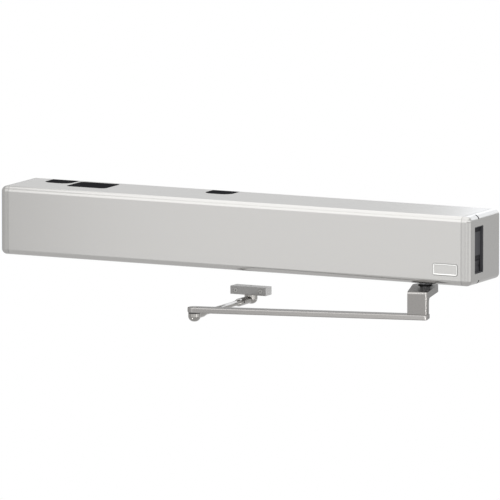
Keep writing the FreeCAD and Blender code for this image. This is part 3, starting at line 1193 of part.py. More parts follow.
def make_forearm_end():
    """The shoe-side end: shank, socket and the eye that turns under the shoe."""
    start = f"({SHOE_Y} - shoe_eye_radius - socket_length)"
    shank = disc("shank_radius", "shank_length + joint_seam",
                 (ELBOW_X, f"{start} - shank_length - joint_seam", FOREARM_Z), "y")
    socket = disc("socket_radius", "socket_length + shoe_eye_radius / 2", (ELBOW_X, start, FOREARM_Z), "y")
    shoe_low = "(-overall_height / 2 - shoe_drop - shoe_height)"
    eye_low = f"({shoe_low} - seat_gap - shoe_eye_height)"
    eye = disc("shoe_eye_radius", "shoe_eye_height", (ELBOW_X, SHOE_Y, eye_low))
    doc.recompute()
    bottom = size.evalExpression(formula(eye_low))
    eye = rounded(eye, "shoe_eye_dome", lambda e: at(e.BoundBox.ZMin, bottom) and at(e.BoundBox.ZMax, bottom))
    bore = disc("shoe_pin_radius + running_gap", "shoe_eye_height * 0.6 + 1",
                (ELBOW_X, SHOE_Y, f"{shoe_low} - seat_gap - shoe_eye_height * 0.6"))
    keep(less(joined(shank, socket, eye), bore), "forearm_end")

    top = "(-overall_height / 2 - shoe_drop)"
    shoe = block(("shoe_length", "shoe_depth", "shoe_height"),
                 (f"{ELBOW_X} - shoe_length / 2", "-shoe_depth", shoe_low))
    shoe = rounded(shoe, "shoe_round", lambda e: not at(e.CenterOfMass.y, 0))
    cuts = [disc("shoe_pin_radius + press_gap", "shoe_height + 2", (ELBOW_X, SHOE_Y, f"{shoe_low} - 1"))]
    for side in (-1, 1):
        hole_x = f"({ELBOW_X} + {side} * shoe_hole_span / 2)"
        hole_z = f"({shoe_low} + shoe_height / 2)"
        cuts.append(disc("shoe_hole", "shoe_depth + 2", (hole_x, "-shoe_depth - 1", hole_z), "y"))
        cuts.append(cone("shoe_sink + 0.5", "shoe_hole", "shoe_sink + 0.5 - shoe_hole",
                         (hole_x, "-shoe_depth - 0.5", hole_z), "y"))
    keep(less(shoe, *cuts), "door_shoe")
    pin_length = "(shoe_height + seat_gap + shoe_eye_height * 0.55)"
    keep(disc("shoe_pin_radius", pin_length, (ELBOW_X, SHOE_Y, f"{top} - {pin_length}")), "shoe_pin")


# Electronics

def make_electronics():
    """The control board on standoffs with what stands on it, and the ring transformer."""
    left = "(board_from_end - overall_length / 2)"
    board = block(("board_length", "board_thick", "board_height"), (left, BOARD_FRONT, "-board_height / 2"))
    spots = [(f"{left} + {x}", z) for x in ("board_hole_inset", "board_length - board_hole_inset")
             for z in ("board_height / 2 - board_hole_inset", "board_hole_inset - board_height / 2")]
    thread = "standoff_radius / 2"
    hole = f"{thread} + running_gap"
    holes = [disc(hole, "board_thick + 2", (x, f"{BOARD_FRONT} - 1", z), "y") for x, z in spots]
    keep(less(board, *holes), "control_board")
    keep(group(*[less(disc("standoff_radius", "standoff_length", (x, "-chassis_wall", z), "-y"),
                      disc(hole, "7", (x, f"{BOARD_Y} - 1", z), "y")) for x, z in spots]), "board_standoffs")
    keep(group(*[screw(thread, "board_thick + 4", "standoff_radius - 0.2", "2", (x, BOARD_FRONT, z), "-y")
                 for x, z in spots]), "board_screws")

    can = [("0", "0"), ("capacitor_radius", "0"), ("capacitor_radius", "capacitor_length - 1"),
           ("capacitor_radius - 1", "capacitor_length"), ("0", "capacitor_length")]
    can_spots = [(f"{left} + capacitor_first + {n} * capacitor_pitch", BOARD_FRONT, "capacitor_level")
                 for n in range(3)]
    keep(group(*[turned("can", can, spot, "-y") for spot in can_spots]), "capacitors")

    sink_left = f"({left} + sink_place)"
    fins = [block(("fin_thick", "sink_reach - sink_base", "sink_height"),
                  (f"{sink_left} + {n} * fin_pitch", f"{BOARD_FRONT} - sink_reach", "0"))
            for n in range(int(size.fin_count))]
    base = block(("fin_pitch * (fin_count - 1) + fin_thick", "sink_base", "sink_height"),
                 (sink_left, f"{BOARD_FRONT} - sink_base", "0"))
    keep(joined(base, *fins), "heat_sink")

    relay_spots = [(f"{left} + relay_place + {n} * relay_pitch", f"{BOARD_FRONT} - relay_side", "-relay_drop")
                   for n in range(2)]
    relay = ("relay_length", "relay_side", "relay_side")
    keep(group(*[block(relay, spot) for spot in relay_spots]), "relays")

    strips = []
    for strip_number in range(2):
        strip_left = f"{left} + terminal_place + {strip_number} * terminal_step"
        strip = block(("terminal_ways * terminal_pitch", "terminal_reach", "terminal_height"),
                      (strip_left, f"{BOARD_FRONT} - terminal_reach", "-low_row"))
        ways = [disc("terminal_way", "terminal_reach * 0.6",
                     (f"{strip_left} + ({n} + 0.5) * terminal_pitch", f"{BOARD_FRONT} - terminal_reach - 1",
                      "terminal_height / 2 - low_row"), "y")
                for n in range(int(size.terminal_ways))]
        strips.append(less(strip, *ways))
    keep(group(*strips), "terminal_blocks")

    fuse_x = f"({left} + fuse_place)"
    fuse_y = f"{BOARD_FRONT} - holder_reach - fuse_radius / 1.5"
    fuse_z = "holder_height / 2 - low_row"
    cradle = block(("fuse_length + 2 * fuse_end", "holder_reach", "holder_height"),
                   (fuse_x, f"{BOARD_FRONT} - holder_reach", "-low_row"))
    nest = disc("fuse_radius + running_gap", "fuse_length + 0.4",
                (f"{fuse_x} + fuse_end - 0.2", fuse_y, fuse_z), "x")
    keep(less(cradle, nest), "fuse_holder")
    keep(disc("fuse_radius", "fuse_length", (f"{fuse_x} + fuse_end", fuse_y, fuse_z), "x"), "fuse")

    middle = ("-coil_place", "-chassis_wall", "0")
    round_over = "coil_length / 5"
    low = f"pad_thick + {round_over}"
    high = f"coil_length - {round_over}"
    keep(turned("coil_body",
                [("coil_bore", low), (f"coil_bore + {round_over}", "pad_thick"),
                 (f"coil_radius - {round_over}", "pad_thick"), ("coil_radius", low), ("coil_radius", high),
                 (f"coil_radius - {round_over}", "coil_length"), (f"coil_bore + {round_over}", "coil_length"),
                 ("coil_bore", high)], middle, "-y"), "transformer_coil")
    keep(turned("pad_body",
                [("bolt_radius + 0.1", "0"), ("coil_radius - 2", "0"), ("coil_radius - 2", "pad_thick"),
                 ("bolt_radius + 0.1", "pad_thick")], middle, "-y"), "transformer_pad")
    keep(turned("bolt_body",
                [("0", "0"), ("bolt_radius", "0"), ("bolt_radius", "coil_length"),
                 ("coil_bore + dish_lip", "coil_length"), ("coil_bore + dish_lip - 2", "coil_length + 2"),
                 ("2 * bolt_radius", "coil_length + 2"), ("2 * bolt_radius", "coil_length + 2 + bolt_head"),
                 ("0", "coil_length + 2 + bolt_head")], middle, "-y"), "transformer_bolt")
    keep(turned("stud",
                [("0", "0"), ("2 * stud_radius", "0"), ("2 * stud_radius", "stud_nut"),
                 ("stud_radius", "stud_nut"), ("stud_radius", "stud_length"), ("0", "stud_length")],
                (f"{ENTRY_X} + stud_from_entry", "-chassis_wall", "-stud_drop"), "-y"), "earth_stud")


make_cover()
make_plug("knockout_plug_left", "left_notch_place", "notch")
make_plug("knockout_plug_centre", "centre_notch_place", "notch")
make_plug("access_plate", "access_place", "access")
make_chassis()
make_cover_screws()
make_end_caps()
make_name_plate()
make_switch()
make_gearbox()
make_spindle()
make_gear_train()
make_motor()
make_encoder()
make_rack()
make_closer()
make_main_arm()
make_elbow()
make_forearm_end()
make_electronics()
doc.recompute()

# Check everything before any file is written
for item in doc.Objects:
    if "Invalid" in item.State or "Error" in item.State:
        raise RuntimeError(f"{item.Name} ({item.Label}) did not build: {item.State}")
for item in sub_parts:
    if item.Shape.isNull() or not item.Shape.isValid() or not item.Shape.Solids:
        raise RuntimeError(f"{item.Label} has no valid solid")

os.makedirs("parts", exist_ok=True)
for item in sub_parts:
    item.Shape.exportStep(f"parts/{item.Label}.step")
    print(f"{item.Label}: {len(item.Shape.Solids)} solid(s), {item.Shape.Volume / 1000:.1f} cm3")
print(len(sub_parts), "sub-parts")
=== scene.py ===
# %% [markdown]
# # An automatic door operator
# The object is a long box that is fixed to the wall above a door. A motor inside it turns a
# spindle, the spindle swings a cranked arm under the box, and a second rod joins that arm to a
# small shoe on the door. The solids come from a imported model, already at their real size. This
# lesson gives them their finishes, models the pieces whose small forms the eye looks for, and
# sets up a plain studio with the camera where the picture was taken.

# %% Load the fixed frame
import math

import bmesh
import bpy
from mathutils import Matrix, Vector


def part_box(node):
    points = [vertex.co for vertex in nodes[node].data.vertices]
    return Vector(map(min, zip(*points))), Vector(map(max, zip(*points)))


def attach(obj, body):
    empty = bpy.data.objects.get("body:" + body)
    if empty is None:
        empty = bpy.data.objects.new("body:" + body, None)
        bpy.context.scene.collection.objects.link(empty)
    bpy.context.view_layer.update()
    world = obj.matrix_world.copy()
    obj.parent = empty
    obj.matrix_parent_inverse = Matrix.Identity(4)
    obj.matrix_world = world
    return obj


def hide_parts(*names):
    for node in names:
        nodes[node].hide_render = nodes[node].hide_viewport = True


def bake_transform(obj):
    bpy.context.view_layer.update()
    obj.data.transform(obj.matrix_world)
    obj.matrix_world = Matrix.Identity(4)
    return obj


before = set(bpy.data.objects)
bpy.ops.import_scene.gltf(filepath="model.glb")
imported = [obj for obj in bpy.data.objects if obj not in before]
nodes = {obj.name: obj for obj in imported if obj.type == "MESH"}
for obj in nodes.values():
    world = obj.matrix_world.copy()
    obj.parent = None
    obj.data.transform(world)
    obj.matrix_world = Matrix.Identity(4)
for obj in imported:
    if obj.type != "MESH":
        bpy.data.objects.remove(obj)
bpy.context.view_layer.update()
MM = 0.001

# %% [markdown]
# ## Colours and patterns
# A colour picked from a screen is stored on the sRGB curve, but light adds up on a straight
# scale, so one function turns a hex value into a linear one. Every finish here starts from the
# same idea: a base colour, a slightly different second colour, and noise between them, because
# no real surface is one flat value. The noise is sized in millimetres, and it also moves the
# roughness a little way up and down.

# %% Colour and node helpers
def linear(code):
    """An sRGB hex colour as linear red, green, blue and alpha."""
    parts = [int(code[start:start + 2], 16) / 255 for start in (1, 3, 5)]
    curve = [part / 12.92 if part <= 0.04045 else ((part + 0.055) / 1.055) ** 2.4 for part in parts]
    return (*curve, 1.0)


def add(tree, kind, settings=None, links=None):
    """Add one node; settings name its properties or number its inputs, links feed its inputs."""
    item = tree.nodes.new(kind)
    for name, value in (settings or {}).items():
        if isinstance(name, int) or name in item.inputs:
            item.inputs[name].default_value = value
        else:
            setattr(item, name, value)
    for name, source in (links or {}).items():
        tree.links.new(source, item.inputs[name])
    return item


print("white is", linear("#FFFFFF"), "and middle grey", [round(part, 3) for part in linear("#808080")])

# %% A finish from one noise
NOISE_DETAIL = 4.0
ROUGH_LEAST = 0.88
ROUGH_MOST = 1.12


def finish(name, colour, second, metallic, roughness, grain_mm, run=(1, 1, 1), relief_mm=0.0,
           **shader_values):
    """A material whose colour, roughness and relief all follow one noise of a real size."""
    material = bpy.data.materials.new(name)
    material.use_nodes = True
    tree = material.node_tree
    tree.nodes.clear()
    place = add(tree, "ShaderNodeTexCoord")
    scaled = add(tree, "ShaderNodeMapping", {"Scale": run}, {"Vector": place.outputs["Object"]})
    noise = add(tree, "ShaderNodeTexNoise", {"Scale": 1 / (grain_mm * MM), "Detail": NOISE_DETAIL},
                {"Vector": scaled.outputs["Vector"]})
    blend = add(tree, "ShaderNodeMix", {"data_type": "RGBA", 6: linear(colour), 7: linear(second)},
                {0: noise.outputs["Fac"]})
    rough = add(tree, "ShaderNodeMapRange",
                {"To Min": roughness * ROUGH_LEAST, "To Max": roughness * ROUGH_MOST},
                {"Value": noise.outputs["Fac"]})
    shader = add(tree, "ShaderNodeBsdfPrincipled", {"Metallic": metallic},
                 {"Base Color": blend.outputs[2], "Roughness": rough.outputs["Result"]})
    # specular_ior_level=0.1 sets the socket "Specular IOR Level" to 0.1
    for socket, value in shader_values.items():
        shader.inputs[socket.replace("_", " ").title().replace("Ior", "IOR")].default_value = value
    if relief_mm:
        bump = add(tree, "ShaderNodeBump", {"Distance": relief_mm * MM, "Strength": 1.0},
                   {"Height": noise.outputs["Fac"]})
        tree.links.new(bump.outputs["Normal"], shader.inputs["Normal"])
    output = add(tree, "ShaderNodeOutputMaterial", None, {"Surface": shader.outputs["BSDF"]})
    output.is_active_output = True
    return material


def wear(material, *names):
    """Give a finish to CAD nodes, by name."""
    for name in names:
        mesh = bpy.data.objects[name].data
        mesh.materials.clear()
        mesh.materials.append(material)


# %% [markdown]
# ## Finishes of the outside
# The cover is an aluminium extrusion: the die leaves faint lines along its length, and the clear
# anodic film makes it satin. A metal has no colour of its own other than its reflections, so its
# two colours are close together, and the noise is stretched along X to draw the lines. The end
# caps are moulded plastic in silver lacquer, whose flakes sit between plastic and metal.

# %% Cover, end caps and plugs
anodised = finish("anodised_aluminium", "#A9A8A6", "#ADACAA", 0.85, 0.2, 1.2, run=(0.02, 1, 1),
                  specular_tint=linear("#F2F2F2"))
lacquered = finish("silver_lacquered_abs", "#A2A19F", "#A6A5A3", 0.85, 0.2, 0.8,
                   specular_tint=linear("#F2F2F2"))
black_abs = finish("black_moulded_abs", "#212123", "#272729", 0.0, 0.8, 0.9, relief_mm=0.03,
                   specular_ior_level=0.0)
panel_abs = finish("black_panel_abs", "#2C2C2E", "#323234", 0.0, 0.6, 0.7, relief_mm=0.02,
                   specular_ior_level=0.05)
# painted light: a lighter black for the window's collar, which evens out the shade inside the window
painted_light_bezel_abs = finish("painted_light_grey_bezel_abs", "#4C4C4F", "#525255", 0.0, 0.6, 0.7, relief_mm=0.02,
                   specular_ior_level=0.1)
rocker_abs = finish("semi_gloss_black_abs", "#3A3A3D", "#404043", 0.0, 0.45, 1.5,
                    specular_ior_level=0.25)
satin_plate = finish("satin_aluminium_plate", "#AFAEAC", "#B6B5B3", 0.9, 0.34, 0.6, run=(0.05, 1, 1))
wear(anodised, "cover")
wear(lacquered, "end_cap_right", "end_cap_left")
wear(black_abs, "knockout_plug_left", "knockout_plug_centre", "access_plate")
wear(panel_abs, "switch_panel", "rocker_housing")
wear(rocker_abs, "rocker")
wear(satin_plate, "name_plate")
print("outside finishes:", len(bpy.data.materials))

# %% [markdown]
# ## Finishes of the arm
# The crank is forged steel under silver paint, so its long faces are even and slightly soft. The
# rod and its two eyes are turned steel with bright nickel, with small sharp highlights on the
# domes. The shoe is painted zinc and a little darker, and the washer at the elbow is nylon.

# %% Arm, rod and shoe
arm_paint = finish("silver_painted_steel", "#8E8C8A", "#908E8C", 0.85, 0.2, 0.4,
                   specular_tint=linear("#C8C8C8"))
nickel = finish("bright_nickel_steel", "#8A8885", "#8E8C89", 1.0, 0.12, 0.8, run=(1, 0.1, 1))
shoe_paint = finish("silver_painted_zinc", "#828180", "#858483", 0.7, 0.32, 0.4)
black_oxide = finish("black_oxide_steel", "#3A3A3C", "#454547", 0.9, 0.36, 0.9)
spindle_steel = finish("blackened_spindle_steel", "#6C6B6B", "#767574", 0.6, 0.4, 0.9)
dull_zinc = finish("dull_zinc_screw", "#989795", "#9E9D9B", 0.7, 0.4, 0.6)
turned_steel = finish("turned_steel", "#8C8B89", "#9A9997", 1.0, 0.3, 0.5)
nylon = finish("black_nylon", "#1E1E1F", "#252526", 0.0, 0.5, 0.8, relief_mm=0.01, ior=1.53)
wear(arm_paint, "main_arm")
wear(nickel, "forearm_rod", "forearm_end")
wear(shoe_paint, "door_shoe")
wear(black_oxide, "output_spindle")
wear(turned_steel, "elbow_pin", "shoe_pin")
wear(nylon, "elbow_washer")
print("finishes with the arm:", len(bpy.data.materials))

# %% [markdown]
# ## Finishes of the inside
# Nobody sees these pieces until the cover comes off, but each still has its own material: zinc
# plated sheet, bronze, cut steel, acetal, lacquered laminate. Their values start from the usual
# ones for each and get a grain of the size that such a surface has.

# %% Metals inside
zinc_sheet = finish("zinc_plated_sheet", "#B3B6B8", "#C2C5C6", 0.9, 0.35, 14.0)
zinc_screw = finish("zinc_plated_screw", "#A9ACAE", "#B8BBBC", 1.0, 0.28, 0.8)
cast_metal = finish("cast_aluminium", "#A3A5A7", "#B0B2B3", 0.9, 0.5, 1.6, relief_mm=0.08)
bronze = finish("sintered_bronze", "#9E7B45", "#AD8A52", 1.0, 0.42, 0.5)
cut_steel = finish("cut_gear_steel", "#7F8183", "#8E9091", 1.0, 0.3, 0.6)
ground_steel = finish("ground_steel", "#AFB1B3", "#BCBEBF", 1.0, 0.16, 0.5, run=(0.1, 1, 1))
dark_etched = finish("etched_dark_steel", "#404042", "#4A4A4C", 0.9, 0.4, 0.6)
oiled_spring = finish("oiled_spring_steel", "#45464A", "#525357", 0.95, 0.3, 1.2, coat_weight=0.3)
brass = finish("turned_brass", "#B08F50", "#BD9C5C", 1.0, 0.28, 0.5)
black_anodised = finish("black_anodised_aluminium", "#202124", "#28292C", 0.7, 0.42, 0.7)
powder_black = finish("black_powder_coat", "#232426", "#2B2C2E", 0.0, 0.5, 0.9, relief_mm=0.05)
powder_grey = finish("grey_powder_coat", "#55585C", "#5D6064", 0.0, 0.48, 0.9, relief_mm=0.05)
wear(zinc_sheet, "chassis")
wear(zinc_screw, "cover_screws", "gearbox_screws", "board_screws", "transformer_bolt", "earth_stud",
     "arm_screw", "set_screw")
wear(cast_metal, "gearbox_case", "gearbox_lid", "gearbox_pillars", "tube_saddles")
wear(bronze, "spindle_bush_lower", "spindle_bush_upper", "idler_bushes")
wear(cut_steel, "output_gear", "idler_gear", "idler_pinion", "motor_pinion", "spindle_pinion", "rack")
wear(ground_steel, "idler_shaft", "motor_shaft", "pull_rod")
wear(dark_etched, "encoder_disc")
wear(oiled_spring, "closer_spring")
wear(brass, "board_standoffs")
wear(black_anodised, "heat_sink")
wear(powder_black, "motor_body")
wear(powder_grey, "spring_tube", "spring_end_plug")
print("finishes with the metals inside:", len(bpy.data.materials))

# %% Plastics, laminate and windings inside
acetal = finish("turned_acetal", "#D6D3C8", "#DEDBD1", 0.0, 0.4, 1.0, ior=1.48)
laminate = finish("lacquered_laminate", "#1F5A34", "#276A3E", 0.0, 0.28, 3.0, ior=1.5)
sensor_epoxy = finish("black_epoxy", "#1D1D20", "#242427", 0.0, 0.3, 0.8)
can_sleeve = finish("sleeved_capacitor", "#1C2333", "#232A3B", 0.0, 0.32, 2.0)
relay_case = finish("blue_relay_case", "#27509A", "#2C57A3", 0.0, 0.35, 1.2)
terminal_case = finish("green_polyamide", "#2F8A4B", "#359352", 0.0, 0.45, 0.9, relief_mm=0.01)
fuse_glass = finish("clear_glass", "#E8EEEA", "#EDF2EF", 0.0, 0.04, 2.0, transmission_weight=0.9,
                    ior=1.5)
coil_tape = finish("polyester_tape", "#B98A2E", "#C39539", 0.0, 0.25, 6.0, coat_weight=0.4)
neoprene = finish("neoprene", "#1B1B1C", "#232324", 0.0, 0.75, 1.0, relief_mm=0.03)
wear(acetal, "piston", "rack_guide")
wear(laminate, "control_board")
wear(sensor_epoxy, "encoder_sensor")
wear(can_sleeve, "capacitors")
wear(relay_case, "relays")
wear(terminal_case, "terminal_blocks")
wear(black_abs, "fuse_holder")
wear(fuse_glass, "fuse")
wear(coil_tape, "transformer_coil")
wear(neoprene, "transformer_pad")
print("finishes:", len(bpy.data.materials))

# %% [markdown]
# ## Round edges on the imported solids
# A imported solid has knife-sharp edges and flat facets. On the real object each edge is a little
# round and catches the light, and a fold is smooth. For the pieces that show, a copy of the
# node's mesh is joined up, its flat faces are made whole, and a narrow bevel goes on the edges.
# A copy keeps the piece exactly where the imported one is. Weighted normals let a big flat face
# keep its own direction, so that a mirror-like face doesn't bend at its border.

# %% Hand over a piece
SHARP = math.radians(32)


def hand_over(shape, name, body, materials, stands_for=(), edge_mm=0.0):
    """Make a finished bmesh a piece, smooth where it is round; it rides on a body if one is named."""
    mesh = bpy.data.meshes.new(name)
    shape.to_mesh(mesh)
    shape.free()
    for material in materials:
        mesh.materials.append(material)
    mesh.shade_smooth()
    mesh.set_sharp_from_angle(angle=SHARP)
    item = bpy.data.objects.new(name, mesh)
    bpy.context.scene.collection.objects.link(item)
    if edge_mm:
        bevel = item.modifiers.new("round_edges", "BEVEL")
        bevel.width = edge_mm * MM
        bevel.segments = 2
        bevel.limit_method = "ANGLE"
        bevel.angle_limit = SHARP
    weighted = item.modifiers.new("flat_faces_lead", "WEIGHTED_NORMAL")
    weighted.keep_sharp = True
    if body:
        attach(item, body)
    if stands_for:
        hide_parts(*stands_for)
    return item


# %% Copy a node, join it up and round it
WELD_WITHIN = 0.002 * MM
FLAT_WITHIN = math.radians(0.5)


def welded_copy(node):
    """A copy of a CAD node's mesh with its facets joined up."""
    shape = bmesh.new()
    shape.from_mesh(nodes[node].data)
    bmesh.ops.remove_doubles(shape, verts=shape.verts, dist=WELD_WITHIN)
    return shape


def make_flats_whole(shape):
    """Merge the facets that lie in one plane."""
    bmesh.ops.dissolve_limit(shape, angle_limit=FLAT_WITHIN, verts=shape.verts, edges=shape.edges)


def rounded_copy(node, body, material, edge_mm):
    """A piece in place of a CAD node: the same form, joined up, with round edges."""
    shape = welded_copy(node)
    make_flats_whole(shape)
    item = hand_over(shape, node + "_shell", body, [material], (node,), edge_mm)
    print(item.name, len(item.data.polygons), "faces, edges rounded", edge_mm, "mm")
    return item


def second_finish(item, material, is_picked):
    """Give a second material to those faces of a piece that a test picks, and print how many."""
    item.data.materials.append(material)
    picked = [face for face in item.data.polygons if is_picked(face)]
    for face in picked:
        face.material_index = 1
    print(material.name, "on", len(picked), "faces of", item.name)


# %% Pieces of the header with round edges
rounded_copy("cover", "header", anodised, 0.1)
right_cap = rounded_copy("end_cap_right", "header", lacquered, 0.12)
rounded_copy("end_cap_left", "header", lacquered, 0.12)
for plug in ("knockout_plug_left", "knockout_plug_centre", "access_plate"):
    rounded_copy(plug, "header", black_abs, 0.5)

# %% [markdown]
# Two release slots cut the top and the bottom edge of the right cap. Their walls get a near-black
# finish that is painted shade, for the shadow that lies inside the slots.

# %% Painted shade on the walls of the two release slots in the right cap
painted_shade_slot_abs = finish("painted_shade_slot_walls_abs", "#161617", "#1C1C1D", 0.0, 0.7, 0.8, specular_ior_level=0.1)
cap_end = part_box("end_cap_right")[1]
SLOT_DEEP = 7.7 * MM
SLOT_HALF = 1.9 * MM
SLOT_Y = -81.6 * MM


def in_a_slot(face):
    """True for a face near the end and near the top or bottom of the cap, within a slot's width."""
    near_edge = face.center.x > cap_end[0] - SLOT_DEEP and abs(face.center.z) > cap_end[2] - SLOT_DEEP
    return near_edge and abs(face.center.y - SLOT_Y) < SLOT_HALF


second_finish(right_cap, painted_shade_slot_abs, in_a_slot)

# %% Pieces of the arm with round edges
arm_item = rounded_copy("main_arm", "arm", arm_paint, 1.2)
rounded_copy("output_spindle", "arm", spindle_steel, 0.3)
rounded_copy("elbow_pin", "arm", turned_steel, 0.2)
rounded_copy("elbow_washer", "forearm", nylon, 0.2)
rod_item = rounded_copy("forearm_rod", "forearm", nickel, 0.35)
socket_item = rounded_copy("forearm_end", "forearm_end", nickel, 0.35)
shoe_item = rounded_copy("door_shoe", "shoe", shoe_paint, 0.35)

# %% [markdown]
# The web is the upright part of the crank, between the hub and the long bar. Its upright faces get
# a darker copy of the arm paint: painted shade for the dimmer reflection that the web shows.

# %% Painted shade on the web of the arm
painted_shade_web_paint = finish("silver_paint_in_painted_shade_on_web", "#7A7876", "#7C7A78", 0.85, 0.2, 0.4,
                   specular_tint=linear("#C8C8C8"))
WEB_FROM_X = 0.29
WEB_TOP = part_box("main_arm")[1][2] - 13.5 * MM
WEB_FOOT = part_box("main_arm")[0][2] + 8.0 * MM
UPRIGHT = 0.3


def on_the_web(face):
    """True for an upright face at the spindle's end of the arm, between its hub and its bar."""
    upright = abs(face.normal.z) < UPRIGHT
    return upright and face.center.x > WEB_FROM_X and WEB_FOOT < face.center.z < WEB_TOP


second_finish(arm_item, painted_shade_web_paint, on_the_web)

# %% [markdown]
# ## The bare plate
# The plate is a small pressing: a polished raised border round a sunk, finely brushed field. It
# starts as a box whose four corners are bevelled. Two insets of its front face then give the
# border and the step down, which is shorter than cutting a second shape out of the first. A thin
# grey sheet behind it shows as a dark rim round it: painted shadow along the plate's edge.

# %% Plate with a raised border
CORNER_RADIUS = 2.5 * MM
BORDER_WIDE = 1.6 * MM
STEP_WIDE = 0.3 * MM
STEP_DEEP = 0.5 * MM


def block_with_round_corners(middle, size, corner_radius):
    """A box whose four edges along Y are rounded."""
    shape = bmesh.new()
    bmesh.ops.create_cube(shape, size=1)
    bmesh.ops.scale(shape, vec=size, verts=shape.verts)
    bmesh.ops.translate(shape, vec=middle, verts=shape.verts)
    corners = [edge for edge in shape.edges
               if abs(edge.verts[0].co.y - edge.verts[1].co.y) > 0.5 * size.y]
    bmesh.ops.bevel(shape, geom=corners, offset=corner_radius, offset_type="OFFSET", segments=6,
                    profile=0.5, affect="EDGES", material=-1)
    return shape


polished_rim = finish("polished_aluminium_rim", "#CFCFCD", "#D4D4D2", 0.9, 0.14, 1.0)
plate_low, plate_high = (Vector(corner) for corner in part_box("name_plate"))
plate_size = plate_high - plate_low
plate_middle = (plate_low + plate_high) / 2
plate = block_with_round_corners(plate_middle, plate_size, CORNER_RADIUS)
field = min(plate.faces, key=lambda face: face.calc_center_median().y)
bmesh.ops.inset_region(plate, faces=[field], thickness=BORDER_WIDE)
bmesh.ops.inset_region(plate, faces=[field], thickness=STEP_WIDE, depth=-STEP_DEEP)
field.material_index = 1
hand_over(plate, "bare_plate", "header", [polished_rim, satin_plate], ("name_plate",), 0.3)
print("plate", [round(side / MM, 1) for side in plate_size], "mm")

# %% Grey sheet behind the plate, a painted shadow round its edge
SHADOW_RIM_WIDE = 1.1 * MM
SHADOW_RIM_THICK = 0.25 * MM
shadow_rim_size = plate_size + Vector((2 * SHADOW_RIM_WIDE, 0, 2 * SHADOW_RIM_WIDE))
shadow_rim_size.y = SHADOW_RIM_THICK
shadow_rim_middle = plate_middle.copy()
shadow_rim_middle.y = plate_high.y - shadow_rim_size.y / 2
shadow_rim_shape = block_with_round_corners(shadow_rim_middle, shadow_rim_size, CORNER_RADIUS + SHADOW_RIM_WIDE)
# painted shadow: the grey sheet stands for the shade round the plate's edge
painted_shadow_rim_finish = finish("painted_shadow_grey_rim", "#8C8B89", "#929190", 0.0, 0.8, 0.8, relief_mm=0.01)
hand_over(shadow_rim_shape, "plate_painted_shadow_rim", "header", [painted_shadow_rim_finish])
print("foam", [round(side / MM, 2) for side in shadow_rim_size], "mm")

# %% [markdown]
# ## Screws
# A screw shows mostly by its recess. The cross starts as a grid of three by three faces whose
# middle row and column are drawn narrow; those five faces are inset and sunk in one step. The
# hexagon starts as a circle of six sides. The flat between the recess and a round edge is filled,
# and that edge is carried down in steps for the head and the shank. The steps are (radius, level)
# in millimetres.

# %% Recesses
def rim(shape):
    """The edges that have a face on one side only."""
    return [edge for edge in shape.edges if len(edge.link_faces) == 1]


def cross_recess(shape, reach, slot, depth):
    """A flat patch with a cross sunk into it; returns the edges round the patch."""
    bmesh.ops.create_grid(shape, x_segments=3, y_segments=3, size=reach)
    for axis in (0, 1):
        narrow = Vector((1, 1, 1))
        narrow[axis] = slot / (2 * reach / 3)
        inner = [vert for vert in shape.verts if abs(vert.co[axis]) < 0.9 * reach]
        bmesh.ops.scale(shape, vec=narrow, verts=inner)
    cross = []
    for face in shape.faces:
        off_x, off_y = (abs(part) for part in face.calc_center_median().xy)
        if min(off_x, off_y) < 0.01 * reach:
            cross.append(face)
    bmesh.ops.inset_region(shape, faces=cross, thickness=0.12 * slot, depth=-depth, use_boundary=True)
    return rim(shape)


def sunk_circle(shape, sides, radius, depth):
    """A hole with a floor, round or with flat sides; returns the edges of its mouth."""
    bmesh.ops.create_circle(shape, cap_ends=True, radius=radius, segments=sides)
    floor_face = shape.faces[:][0]
    bmesh.ops.inset_region(shape, faces=[floor_face], thickness=0.04 * radius, depth=-depth,
                           use_boundary=True)
    return rim(shape)


# %% Screw bodies
def screw_body(shape, mouth, steps, segments=24):
    """Fill from a recess to a round edge and carry that down through (radius, level) steps."""
    first, level = steps[0]
    ring = bmesh.ops.create_circle(shape, cap_ends=False, radius=first, segments=segments)["verts"]
    bmesh.ops.translate(shape, vec=(0, 0, level), verts=ring)
    edge_ring = list({edge for vert in ring for edge in vert.link_edges})
    bmesh.ops.triangle_fill(shape, edges=mouth + edge_ring, use_beauty=True)
    radius = first
    for next_radius, next_level in steps[1:]:
        made = bmesh.ops.extrude_edge_only(shape, edges=edge_ring)["geom"]
        ring = [item for item in made if isinstance(item, bmesh.types.BMVert)]
        edge_ring = [item for item in made if isinstance(item, bmesh.types.BMEdge)]
        share = next_radius / radius
        bmesh.ops.scale(shape, vec=(share, share, 1), verts=ring)
        bmesh.ops.translate(shape, vec=(0, 0, next_level - level), verts=ring)
        radius = next_radius
        level = next_level
    bmesh.ops.edgeloop_fill(shape, edges=edge_ring)


def seated(shape, place, facing):
    """Scale a screw drawn in millimetres, turn its head to face a direction, and put it in place."""
    turn = Vector(facing).to_track_quat("Z", "Y").to_matrix().to_4x4()
    bmesh.ops.recalc_face_normals(shape, faces=shape.faces)
    bmesh.ops.transform(shape, matrix=Matrix.Translation(place) @ turn @ Matrix.Scale(MM, 4),
                        verts=shape.verts)
    return shape


# %% [markdown]
# The shoe is held to the door by two countersunk screws. Their heads lie flush in the front face
# and are a little brighter than the paint round them, with a dark cross.

